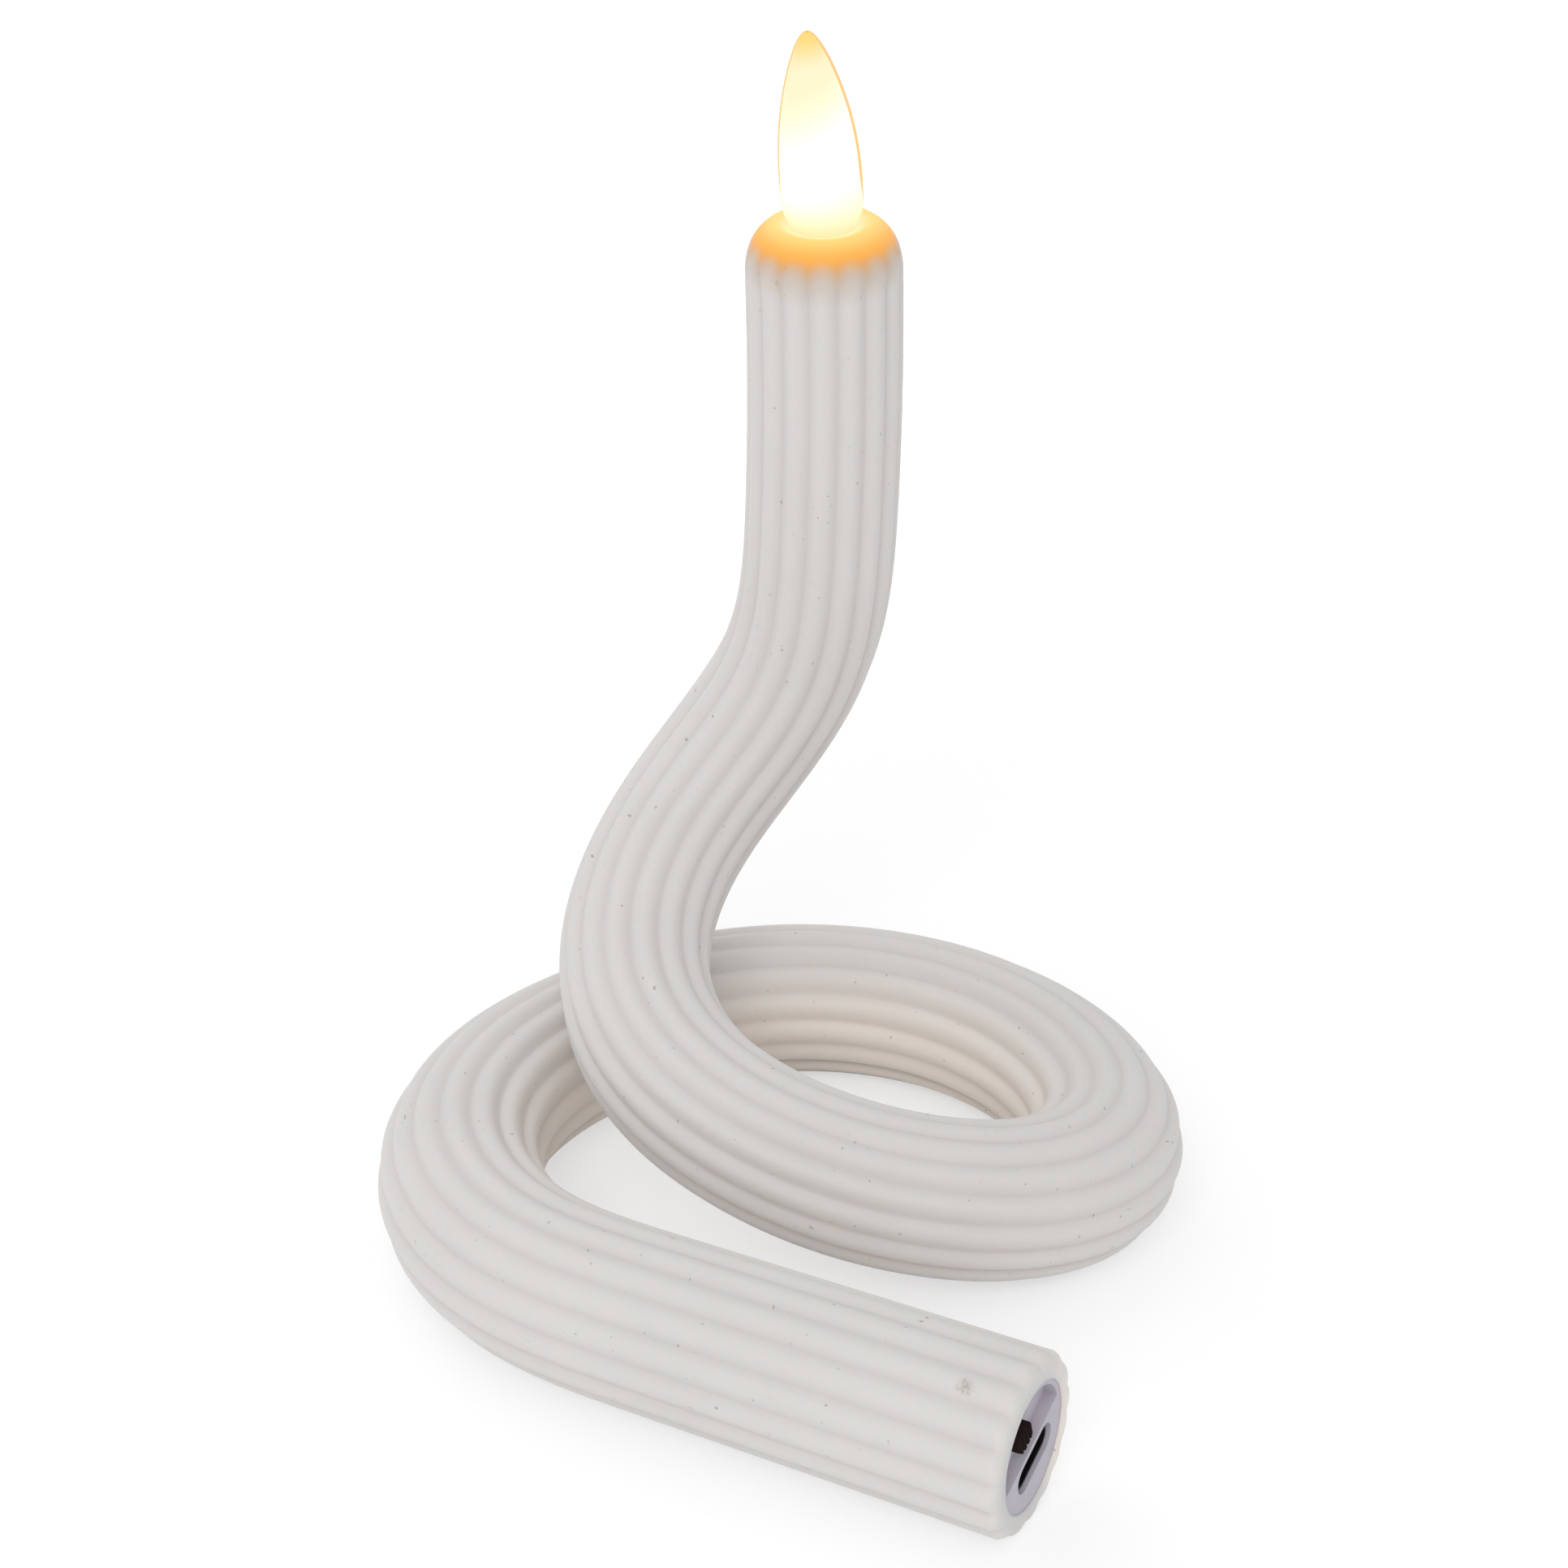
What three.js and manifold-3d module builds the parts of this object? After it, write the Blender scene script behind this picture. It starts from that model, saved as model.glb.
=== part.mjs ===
// A bendable LED candle: a ribbed silicone taper over a soft wire core, bent by hand into a standing
// loop. The foot end holds a rechargeable cell, a charging socket and a slide switch, and the top
// end holds a lamp inside a flame-shaped shell. Millimetres, +Z up, the table at z = 0.

import * as THREE from 'three';
import { mergeVertices } from 'three/addons/utils/BufferGeometryUtils.js';
import Module from 'manifold-3d';

const wasm = await Module();
wasm.setup();

// Sizes of the sleeve, its length measured along the middle from the foot to the dome
const RIBBED_LENGTH = 439.5;
const FOOT_DIAMETER = 23;
const TOP_DIAMETER = 20.6;
const RIB_COUNT = 16;
const RIB_DEPTH = 0.75;
const RIB_PHASE = 0;
const FOOT_ROUNDING = 1.5;
const FOOT_RIB_SHARE = 0.7;
const DOME_HEIGHT = 9;
const DOME_FULLNESS = 2.7;
const DISH_DEPTH = 1.3;
const RIB_FADE = 2.5;
const CORE_BORE = 6.4;
const REST_FLAT = 0.5;

// The bends, from the foot to the top: parts of the ribbed length, degrees that the heading turns
// to the left, and the climb angle reached at the end of the stretch
const FOOT_HEADING = 152.4;
const BENDS = [
  { parts: 62, turn: 0, climb: 0 },
  { parts: 57, turn: -91, climb: 0 },
  { parts: 38.5, turn: -42, climb: 0 },
  { parts: 73, turn: -99.5, climb: 0 },
  { parts: 26, turn: -91.5, climb: 4.5 },
  { parts: 44, turn: -46, climb: 16.2 },
  { parts: 49.5, turn: -95, climb: 41 },
  { parts: 48, turn: -117.5, climb: 82.5 },
  { parts: 41.5, turn: -31.5, climb: 82.5 },
];
const BEND_EASING = 18;
const FACET_ANGLE = 13;

// The place where the standing stem bends over
const PIVOT_BELOW_TOP = 33.5;
const BALL_GAP = 0.35;

// Housing, cell and plug in the foot end
const FIT = 0.3;
const SLEEVE_WALL = 3.1;
const HOUSING_DIAMETER = FOOT_DIAMETER - 2 * SLEEVE_WALL;
const HOUSING_WALL = 0.8;
const BULKHEAD = 1.5;
const NECK_DIAMETER = 7.8;
const NECK_LENGTH = 4;
const PLUG_SINK = 0.3;
const PLUG_PLATE = 3.2;
const PLUG_SKIRT_LENGTH = 5;
const PLUG_SKIRT_WALL = 0.7;
const SKIRT_GAP = 0.2;
const ELECTRONICS_LENGTH = 13;
const CELL_HEADROOM = 1.9;
const CELL_LENGTH = 34;
const CELL_NUB_DIAMETER = 5.6;
const CELL_NUB_HEIGHT = 1;
const LEAD_ROOM = 4.5;

// Charging socket and slide switch, in the plane of the foot's face
const SLOT_TILT = 19.5;
const SLOT_WIDTH = 9.8;
const SLOT_HEIGHT = 4;
const SLOT_OFFSET = -2.5;
const SOCKET_WIDTH = 8.94;
const SOCKET_HEIGHT = 3.26;
const SOCKET_LENGTH = 7.3;
const SOCKET_WALL = 0.3;
const SOCKET_SINK = 0.5;
const TONGUE_WIDTH = 6.7;
const TONGUE_THICKNESS = 0.7;
const TONGUE_LENGTH = 4.4;
const RECESS_RIM = 0.8;
const RECESS_CHORD = 0.3;
const RECESS_DEPTH = 1.6;
const KNOB_LENGTH = 3.6;
const KNOB_WIDTH = 3;
const KNOB_PROUD = 0.3;
const KNOB_RIDGES = 4;
const KNOB_STEM_LENGTH = 1.8;
const KNOB_STEM_WIDTH = 1.3;
const KNOB_STEM_REACH = 1;
const SWITCH_TRAVEL = 2.9;
const SWITCH_WALL = 0.45;
const SWITCH_CLEARANCE = 0.35;
const SWITCH_WIDTH = 3.6;
const SWITCH_DEPTH = 4;
const BOARD_CLEARANCE = 0.42;
const BOARD_THICKNESS = 1;
const BOARD_TOP = 0.45;
const BOARD_TAIL_ROOM = 2.5;
const STRIP_THICKNESS = 0.15;
const STRIP_WIDTH = 3;
const STRIP_NARROW = 1.5;

// Parts on the board: their size, their place across it, how far they stand behind its front edge,
// and whether they sit on its upper face
const BOARD_PARTS = {
  charge_chip: {
    width: 3.9, length: 3, height: 1.4, across: 0, behind: 5, above: true, finish: 'chip',
  },
  driver_chip: {
    width: 2.9, length: 1.6, height: 1.1, across: 0, behind: 5.6, above: false, finish: 'chip',
  },
  lamp_resistor: {
    width: 1.3, length: 2, height: 0.6, across: 3.8, behind: 5.4, above: false, finish: 'chip',
  },
  charge_capacitor: {
    width: 1.3, length: 2, height: 1, across: -3.8, behind: 5.4, above: false, finish: 'ceramic',
  },
};

// Core wire and lamp leads, placed side by side in the bore
const CORE_DIAMETER = 3.2;
const CORE_SIDES = 6;
const CORE_OFFSET = -1;
const LEAD_DIAMETER = 1.2;
const LEAD_SIDES = 5;
const LEAD_SPREAD = 1.1;
const LEAD_OFFSET = 1.85;
const LEAD_SPREAD_AT_CELL = 1.6;
const PADDLE_WIDTH = 7.2;
const PADDLE_HEIGHT = 3.2;
const PADDLE_THICKNESS = 1.6;

// Lamp, holder and flame shell in the top end, measured up from the shoulder of the dome
const HOLDER_DIAMETER = 12.6;
const HOLDER_BOTTOM = -17.2;
const HOLDER_TOP = 0.6;
const HOLDER_FLOOR = 2.5;
const HOLDER_CHAMBER = 9.2;
const HOLDER_SHELF = 1;
const HOLDER_LEG_HOLE = 4;
const LAMP_SEAT_DEPTH = 6.1;
const LAMP_DIAMETER = 5;
const LAMP_FLANGE_DIAMETER = 5.8;
const LAMP_FLANGE = 1;
const LAMP_HEIGHT = 8.6;
const LEG_SPACING = 2.54;
const LEG_SIZE = 0.5;
const LEG_LENGTH = 2.7;
const SHRINK_LENGTH = 3;
const SHRINK_WALL = 0.25;
const SHRINK_ROOM = 0.2;
const FLAME_NECK_DIAMETER = 8;
const FLAME_FLANGE = 1;
const FLAME_WALL = 1;
const FLAME_BASE = 7.4;
const FLAME_WIDTH = 10.9;
const FLAME_HEIGHT = 28.5;
const FLAME_WIDEST = 0.284;
const FLAME_FOOT_TAPER = 0.275;
const FLAME_FOOT_POWER = 5.6;
const FLAME_LEAN = 2.2;
const FLAME_SIDES = 22;

const DEG = Math.PI / 180;

// Joins and cuts
function closed(geometry) {
  const bare = geometry.clone();
  for (const name of Object.keys(bare.attributes)) {
    if (name !== 'position') bare.deleteAttribute(name);
  }
  const merged = mergeVertices(bare, 1e-5);
  const faces = [];
  for (let i = 0; i < merged.index.count; i += 3) {
    const [a, b, c] = [0, 1, 2].map((corner) => merged.index.getX(i + corner));
    if (a !== b && b !== c && c !== a) faces.push(a, b, c);
  }
  merged.setIndex(volumeOf(merged.attributes.position, faces) < 0 ? faces.reverse() : faces);
  return merged;
}

function volumeOf(position, faces) {
  const [a, b, c] = [0, 1, 2].map(() => new THREE.Vector3());
  let sum = 0;
  for (let i = 0; i < faces.length; i += 3) {
    [a, b, c].forEach((corner, k) => corner.fromBufferAttribute(position, faces[i + k]));
    sum += a.dot(b.cross(c)) / 6;
  }
  return sum;
}

function solid(geometry) {
  const merged = closed(geometry);
  return new wasm.Manifold(new wasm.Mesh({
    numProp: 3,
    vertProperties: new Float32Array(merged.attributes.position.array),
    triVerts: new Uint32Array(merged.index.array),
  }));
}

function geometryOf(manifold) {
  const mesh = manifold.getMesh();
  const geometry = new THREE.BufferGeometry();
  geometry.setAttribute('position', new THREE.BufferAttribute(new Float32Array(mesh.vertProperties), 3));
  geometry.setIndex(new THREE.BufferAttribute(new Uint32Array(mesh.triVerts), 1));
  geometry.computeVertexNormals();
  return geometry;
}

function cut(body, ...tools) {
  return geometryOf(tools.reduce((left, tool) => left.subtract(solid(tool)), solid(body)));
}

function join(...bodies) {
  return geometryOf(bodies.map(solid).reduce((left, right) => left.add(right)));
}

function common(first, second) {
  return geometryOf(solid(first).intersect(solid(second)));
}

// Plain shapes, all standing on the local z axis
function disc(diameter, bottom, top, segments = 28) {
  const shape = new THREE.CylinderGeometry(diameter / 2, diameter / 2, top - bottom, segments);
  return shape.rotateX(Math.PI / 2).translate(0, 0, (top + bottom) / 2);
}

function block(width, height, bottom, top) {
  return new THREE.BoxGeometry(width, height, top - bottom).translate(0, 0, (top + bottom) / 2);
}

function revolve(outline, segments = 28) {
  const points = outline.map(([radius, height]) => new THREE.Vector2(radius, height));
  return new THREE.LatheGeometry(points, segments).rotateX(Math.PI / 2);
}

function stadium(width, height) {
  const half = (width - height) / 2;
  const shape = new THREE.Shape();
  shape.absarc(half, 0, height / 2, -Math.PI / 2, Math.PI / 2);
  shape.absarc(-half, 0, height / 2, Math.PI / 2, Math.PI * 1.5);
  return shape;
}

function raise(shape, bottom, top, curveSegments = 6) {
  const options = { depth: top - bottom, bevelEnabled: false, curveSegments };
  return new THREE.ExtrudeGeometry(shape, options).translate(0, 0, bottom);
}

function polygon(points) {
  return new THREE.Shape(points.map(([x, y]) => new THREE.Vector2(x, y)));
}

// A profile in the x-z plane, carried along y and centred on it
function carry(points, width) {
  return raise(polygon(points), -width / 2, width / 2).rotateX(Math.PI / 2);
}

// A skin over closed rings of equal point count, with flat ends
function loft(rings) {
  const count = rings[0].length;
  const positions = rings.flat();
  const index = [];
  for (let ring = 0; ring < rings.length - 1; ring += 1) {
    for (let side = 0; side < count; side += 1) {
      const a = ring * count + side;
      const b = ring * count + (side + 1) % count;
      index.push(a, b, b + count, a, b + count, a + count);
    }
  }
  for (const [ring, flip] of [[0, true], [rings.length - 1, false]]) {
    const centre = rings[ring].reduce((sum, p) => sum.add(p), new THREE.Vector3()).divideScalar(count);
    positions.push(centre);
    for (let side = 0; side < count; side += 1) {
      const a = ring * count + side;
      const b = ring * count + (side + 1) % count;
      index.push(...(flip ? [b, a, positions.length - 1] : [a, b, positions.length - 1]));
    }
  }
  const geometry = new THREE.BufferGeometry().setFromPoints(positions);
  geometry.setIndex(index);
  geometry.computeVertexNormals();
  return geometry;
}

// The middle line of the candle, laid out in short steps
const ALL_PARTS = BENDS.reduce((sum, stretch) => sum + stretch.parts, 0);
const STEP = 0.5;

function sharpAngles(along) {
  let heading = FOOT_HEADING;
  let climb = 0;
  let start = 0;
  for (const stretch of BENDS) {
    const length = RIBBED_LENGTH * stretch.parts / ALL_PARTS;
    const share = THREE.MathUtils.clamp((along - start) / length, 0, 1);
    heading += stretch.turn * share;
    if (share > 0) climb = THREE.MathUtils.lerp(climb, stretch.climb, share);
    start += length;
  }
  return [heading, climb];
}

// A hand-made bend eases in and out, so each angle is the mean over a short window
function easedAngles(along) {
  const samples = 9;
  const sum = [0, 0];
  for (let i = 0; i < samples; i += 1) {
    const [heading, climb] = sharpAngles(along + (i / (samples - 1) - 0.5) * BEND_EASING);
    sum[0] += heading / samples;
    sum[1] += climb / samples;
  }
  return sum;
}

function crestRadius(along) {
  return THREE.MathUtils.lerp(FOOT_DIAMETER, TOP_DIAMETER, along / RIBBED_LENGTH) / 2;
}

// Places along the middle line, each with a frame that doesn't twist: side, rise and ahead. The
// switch lies towards rise at the foot
function walkRoute() {
  const places = [];
  const at = new THREE.Vector3();
  const level = FOOT_HEADING * DEG;
  const inward = new THREE.Vector3(Math.cos(level), Math.sin(level), 0);
  let rise = new THREE.Vector3(0, 0, 1).applyAxisAngle(inward, -SLOT_TILT * DEG);
  let climbed = 0;
  for (let along = 0; along <= RIBBED_LENGTH + STEP / 2; along += STEP) {
    const [heading, climb] = easedAngles(along);
    const ahead = new THREE.Vector3().setFromSphericalCoords(1, (90 - climb) * DEG, heading * DEG);
    ahead.set(ahead.z, ahead.x, ahead.y);
    if (places.length) {
      const last = places[places.length - 1];
      at.addScaledVector(last.ahead, STEP / 2).addScaledVector(ahead, STEP / 2);
      climbed += (last.ahead.z + ahead.z) * STEP / 2;
    }
    const side = rise.clone().cross(ahead).normalize();
    rise = ahead.clone().cross(side);
    const point = new THREE.Vector3(at.x, at.y, crestRadius(along) - REST_FLAT + climbed);
    places.push({ along, point, side, rise, ahead });
  }
  return places;
}

const PLACES = walkRoute();

function placeAt(along) {
  return PLACES[Math.round(THREE.MathUtils.clamp(along, 0, RIBBED_LENGTH) / STEP)];
}

// Stations stand closer where the candle bends more, and every long piece bends at the same ones
const STATIONS = [PLACES[0]];
for (const place of PLACES) {
  const last = STATIONS[STATIONS.length - 1];
  if (last.ahead.angleTo(place.ahead) / DEG >= FACET_ANGLE) STATIONS.push(place);
}

function stationsBetween(from, to) {
  const inner = STATIONS.filter(({ along }) => along > from + 1.5 && along < to - 1.5);
  return [placeAt(from), ...inner, placeAt(to)];
}

function pointBeside(place, x, y, forward = 0) {
  return place.point.clone()
    .addScaledVector(place.side, x)
    .addScaledVector(place.rise, y)
    .addScaledVector(place.ahead, forward);
}

function roundRing(place, radius, sides, x = 0, y = 0, forward = 0) {
  const ring = [];
  for (let i = 0; i < sides; i += 1) {
    const angle = (i / sides) * Math.PI * 2;
    ring.push(pointBeside(place, x + radius * Math.cos(angle), y + radius * Math.sin(angle), forward));
  }
  return ring;
}

function wireAlong(from, to, diameter, sides, x, y) {
  return loft(stationsBetween(from, to).map((place) => roundRing(place, diameter / 2, sides, x, y)));
}

// Each rib has a round crest and meets the next in a narrow valley
const RIB_STOPS = [0.2, 0.5, 0.8];

function ribbedRing(place, radius, depth, forward = 0) {
  const ring = [];
  for (let rib = 0; rib < RIB_COUNT; rib += 1) {
    for (const stop of RIB_STOPS) {
      const angle = ((rib + stop) / RIB_COUNT) * Math.PI * 2 + (90 + SLOT_TILT + RIB_PHASE) * DEG;
      const reach = radius - depth * (1 - Math.abs(Math.cos(stop * Math.PI)));
      ring.push(pointBeside(place, reach * Math.cos(angle), reach * Math.sin(angle), forward));
    }
  }
  return ring;
}

function footRings() {
  const rings = [];
  const start = placeAt(0);
  for (const share of [0, 0.12, 0.4]) {
    const inset = FOOT_ROUNDING * (1 - Math.sqrt(1 - (1 - share) ** 2));
    const depth = RIB_DEPTH * THREE.MathUtils.lerp(FOOT_RIB_SHARE, 1, share);
    rings.push(ribbedRing(start, crestRadius(0) - inset, depth, share * FOOT_ROUNDING));
  }
  return rings;
}

function domePoint(angle) {
  const power = 2 / DOME_FULLNESS;
  return [
    (TOP_DIAMETER / 2) * Math.cos(angle * DEG) ** power,
    DOME_HEIGHT * Math.sin(angle * DEG) ** power,
  ];
}

// The dome's top is dished round the foot of the flame
function domeRings() {
  const top = placeAt(RIBBED_LENGTH);
  const angles = [12, 26, 42, 58, 74];
  return angles.map((angle, index) => {
    const [radius, height] = domePoint(angle);
    const fade = 1 - THREE.MathUtils.smoothstep(height, 0, RIB_FADE);
    const dip = index === angles.length - 1 ? DISH_DEPTH : 0;
    return ribbedRing(top, radius, RIB_DEPTH * fade, height - dip);
  });
}

// Frames of the foot and of the top: at the foot z points out of the candle, x along the charging
// slot and y towards the switch, and at the top z points up out of the dome
const FOOT_PLACE = placeAt(0);
const TOP_PLACE = placeAt(RIBBED_LENGTH);
const PIVOT_PLACE = placeAt(RIBBED_LENGTH - PIVOT_BELOW_TOP);

function frameOf(place, xAxis, yAxis, zAxis) {
  return new THREE.Matrix4().makeBasis(xAxis, yAxis, zAxis).setPosition(place.point);
}

const FOOT_FRAME = frameOf(
  FOOT_PLACE,
  FOOT_PLACE.side.clone().negate(),
  FOOT_PLACE.rise,
  FOOT_PLACE.ahead.clone().negate(),
);
const TOP_FRAME = frameOf(TOP_PLACE, TOP_PLACE.side, TOP_PLACE.rise, TOP_PLACE.ahead);

// Half the chord of a circle at a distance from its middle
function chordAt(radius, distance) {
  return Math.sqrt(Math.max(radius ** 2 - distance ** 2, 0));
}

// Depths below the foot's rim
const PLATE_BACK = PLUG_SINK + PLUG_PLATE;
const HOUSING_START = PLATE_BACK + FIT;
const CELL_START = PLATE_BACK + ELECTRONICS_LENGTH;
const CELL_END = CELL_START + CELL_LENGTH;
const BULKHEAD_START = CELL_END + LEAD_ROOM;
const BOARD_START = HOUSING_START;
const BOARD_END = CELL_START - BOARD_TAIL_ROOM;
const NECK_START = BULKHEAD_START + BULKHEAD;
const NECK_END = NECK_START + NECK_LENGTH;
const HOUSING_BORE = HOUSING_DIAMETER - 2 * HOUSING_WALL;
const SKIRT_DIAMETER = HOUSING_BORE - 2 * SKIRT_GAP;
const CELL_DIAMETER = HOUSING_BORE - FIT - CELL_HEADROOM;
const CELL_LOWERED = (CELL_HEADROOM - FIT) / 2;
const RECESS_DIAMETER = HOUSING_DIAMETER - 2 * RECESS_RIM;
const SWITCH_WINDOW = KNOB_STEM_LENGTH + SWITCH_TRAVEL + 2 * FIT;
const SWITCH_LENGTH = SWITCH_WINDOW + 2 * SWITCH_WALL;
const KNOB_OFFSET = chordAt(
  SKIRT_DIAMETER / 2 - PLUG_SKIRT_WALL,
  SWITCH_LENGTH / 2 + SWITCH_CLEARANCE,
) - SWITCH_WIDTH / 2;
const BOARD_WIDTH = 2 * (chordAt(
  SKIRT_DIAMETER / 2 - PLUG_SKIRT_WALL,
  BOARD_THICKNESS,
) - BOARD_CLEARANCE);
const NECK_BORE = CORE_BORE - 2 * 0.1;

// The sleeve, parted by a ball where the stem bends over
function wholeSleeve() {
  const rings = [
    ...footRings(),
    ...stationsBetween(FOOT_ROUNDING, RIBBED_LENGTH).map((place) => (
      ribbedRing(place, crestRadius(place.along), RIB_DEPTH))),
    ...domeRings(),
  ];
  const bore = wireAlong(NECK_START, RIBBED_LENGTH, CORE_BORE, 10, 0, 0);
  const housing = revolve([
    [0, 1],
    [HOUSING_DIAMETER / 2 + FIT, 1],
    [HOUSING_DIAMETER / 2 + FIT, -NECK_START - FIT],
    [NECK_DIAMETER / 2 + FIT, -NECK_START - FIT],
    [NECK_DIAMETER / 2 + FIT, -NECK_END - FIT],
    [0, -NECK_END - FIT],
  ]).applyMatrix4(FOOT_FRAME);
  const cavity = revolve([
    [0, HOLDER_BOTTOM - FIT],
    [HOLDER_DIAMETER / 2 + FIT, HOLDER_BOTTOM - FIT],
    [HOLDER_DIAMETER / 2 + FIT, HOLDER_TOP + FIT + FLAME_FLANGE + FIT],
    [FLAME_NECK_DIAMETER / 2 + FIT, FLAME_BASE - FIT],
    [FLAME_NECK_DIAMETER / 2 + FIT, DOME_HEIGHT + 1],
    [0, DOME_HEIGHT + 1],
  ]).applyMatrix4(TOP_FRAME);
  const table = block(2 * RIBBED_LENGTH, 2 * RIBBED_LENGTH, -FOOT_DIAMETER, 0);
  return cut(loft(rings), bore, housing, cavity, table);
}

function ballAt(place, radius) {
  const frame = frameOf(place, place.side, place.rise, place.ahead);
  return new THREE.SphereGeometry(radius, 28, 14).rotateX(Math.PI / 2).applyMatrix4(frame);
}

function sleevePieces() {
  const sleeve = wholeSleeve();
  const place = PIVOT_PLACE;
  const radius = crestRadius(place.along);
  const above = block(60, 60, 0, 90).applyMatrix4(frameOf(place, place.side, place.rise, place.ahead));
  const lower = cut(sleeve, cut(above, ballAt(place, radius)));
  const upper = cut(common(sleeve, above), ballAt(place, radius + BALL_GAP));
  return { lower, upper };
}

// Foot pieces, in the foot frame
function endPlug() {
  const face = -PLUG_SINK;
  const plate = disc(HOUSING_DIAMETER, -PLATE_BACK, face, 40);
  const skirtRadius = SKIRT_DIAMETER / 2;
  const skirt = revolve([
    [skirtRadius - PLUG_SKIRT_WALL, -PLATE_BACK - PLUG_SKIRT_LENGTH],
    [skirtRadius, -PLATE_BACK - PLUG_SKIRT_LENGTH],
    [skirtRadius, -PLATE_BACK + 0.5],
    [skirtRadius - PLUG_SKIRT_WALL, -PLATE_BACK + 0.5],
    [skirtRadius - PLUG_SKIRT_WALL, -PLATE_BACK - PLUG_SKIRT_LENGTH],
  ]);
  const slot = raise(stadium(SLOT_WIDTH, SLOT_HEIGHT), -PLATE_BACK - 1, 1).translate(0, SLOT_OFFSET, 0);
  const halfSegment = Math.acos(RECESS_CHORD / (RECESS_DIAMETER / 2));
  const segment = new THREE.Shape();
  segment.absarc(0, 0, RECESS_DIAMETER / 2, Math.PI / 2 - halfSegment, Math.PI / 2 + halfSegment);
  const recess = raise(segment, face - RECESS_DEPTH, 1, 16);
  const guide = block(
    SWITCH_WINDOW,
    KNOB_STEM_WIDTH + 2 * FIT,
    -PLATE_BACK - 1,
    0,
  ).translate(0, KNOB_OFFSET, 0);
  return cut(join(plate, skirt), slot, recess, guide);
}

function batteryTube() {
  const outline = [
    [HOUSING_BORE / 2, -HOUSING_START],
    [HOUSING_BORE / 2, -BULKHEAD_START],
    [NECK_BORE / 2, -BULKHEAD_START],
    [NECK_BORE / 2, -NECK_END],
    [NECK_DIAMETER / 2, -NECK_END],
    [NECK_DIAMETER / 2, -NECK_START],
    [HOUSING_DIAMETER / 2, -NECK_START],
    [HOUSING_DIAMETER / 2, -HOUSING_START],
    [HOUSING_BORE / 2, -HOUSING_START],
  ];
  return revolve(outline);
}

function cell() {
  const radius = CELL_DIAMETER / 2;
  const shoulder = -CELL_START - CELL_NUB_HEIGHT;
  return revolve([
    [0, -CELL_END],
    [radius - 0.4, -CELL_END],
    [radius, -CELL_END + 0.4],
    [radius, shoulder - 0.4],
    [radius - 0.4, shoulder],
    [CELL_NUB_DIAMETER / 2, shoulder],
    [CELL_NUB_DIAMETER / 2, -CELL_START],
    [0, -CELL_START],
  ], 28).translate(0, -CELL_LOWERED, 0);
}

function mainBoard() {
  return block(BOARD_WIDTH, BOARD_THICKNESS, -BOARD_END, -BOARD_START)
    .translate(0, BOARD_TOP - BOARD_THICKNESS / 2, 0);
}

function socketShell() {
  const front = -SOCKET_SINK - PLUG_SINK;
  const outer = raise(stadium(SOCKET_WIDTH, SOCKET_HEIGHT), front - SOCKET_LENGTH, front);
  const inner = raise(
    stadium(SOCKET_WIDTH - 2 * SOCKET_WALL, SOCKET_HEIGHT - 2 * SOCKET_WALL),
    front - SOCKET_LENGTH + SOCKET_WALL,
    front + 1,
  );
  return cut(outer, inner).translate(0, SLOT_OFFSET, 0);
}

function socketTongue() {
  const back = -SOCKET_SINK - PLUG_SINK - SOCKET_LENGTH + SOCKET_WALL + 0.1;
  const baseWidth = SOCKET_WIDTH - 2 * SOCKET_WALL - 0.2;
  const base = raise(stadium(baseWidth, SOCKET_HEIGHT - 2 * SOCKET_WALL - 0.2), back, back + 1.6);
  const tongue = block(TONGUE_WIDTH, TONGUE_THICKNESS, back + 1, back + 1.6 + TONGUE_LENGTH);
  return join(base, tongue).translate(0, SLOT_OFFSET, 0);
}

function switchBody() {
  const front = -PLATE_BACK - FIT;
  const body = block(SWITCH_LENGTH, SWITCH_WIDTH, front - SWITCH_DEPTH, front).translate(0, KNOB_OFFSET, 0);
  const window = block(
    SWITCH_WINDOW,
    KNOB_STEM_WIDTH + 2 * FIT,
    front - KNOB_STEM_REACH - FIT,
    front + 1,
  ).translate(0, KNOB_OFFSET, 0);
  const pinTop = KNOB_OFFSET - SWITCH_WIDTH / 2 + 0.2;
  const pinBottom = BOARD_TOP + FIT;
  const pins = [-2.5, 0, 2.5].map((x) => block(0.5, pinTop - pinBottom, front - 2.3, front - 1.8)
    .translate(x, (pinTop + pinBottom) / 2, 0));
  return cut(join(body, ...pins), window);
}

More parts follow.
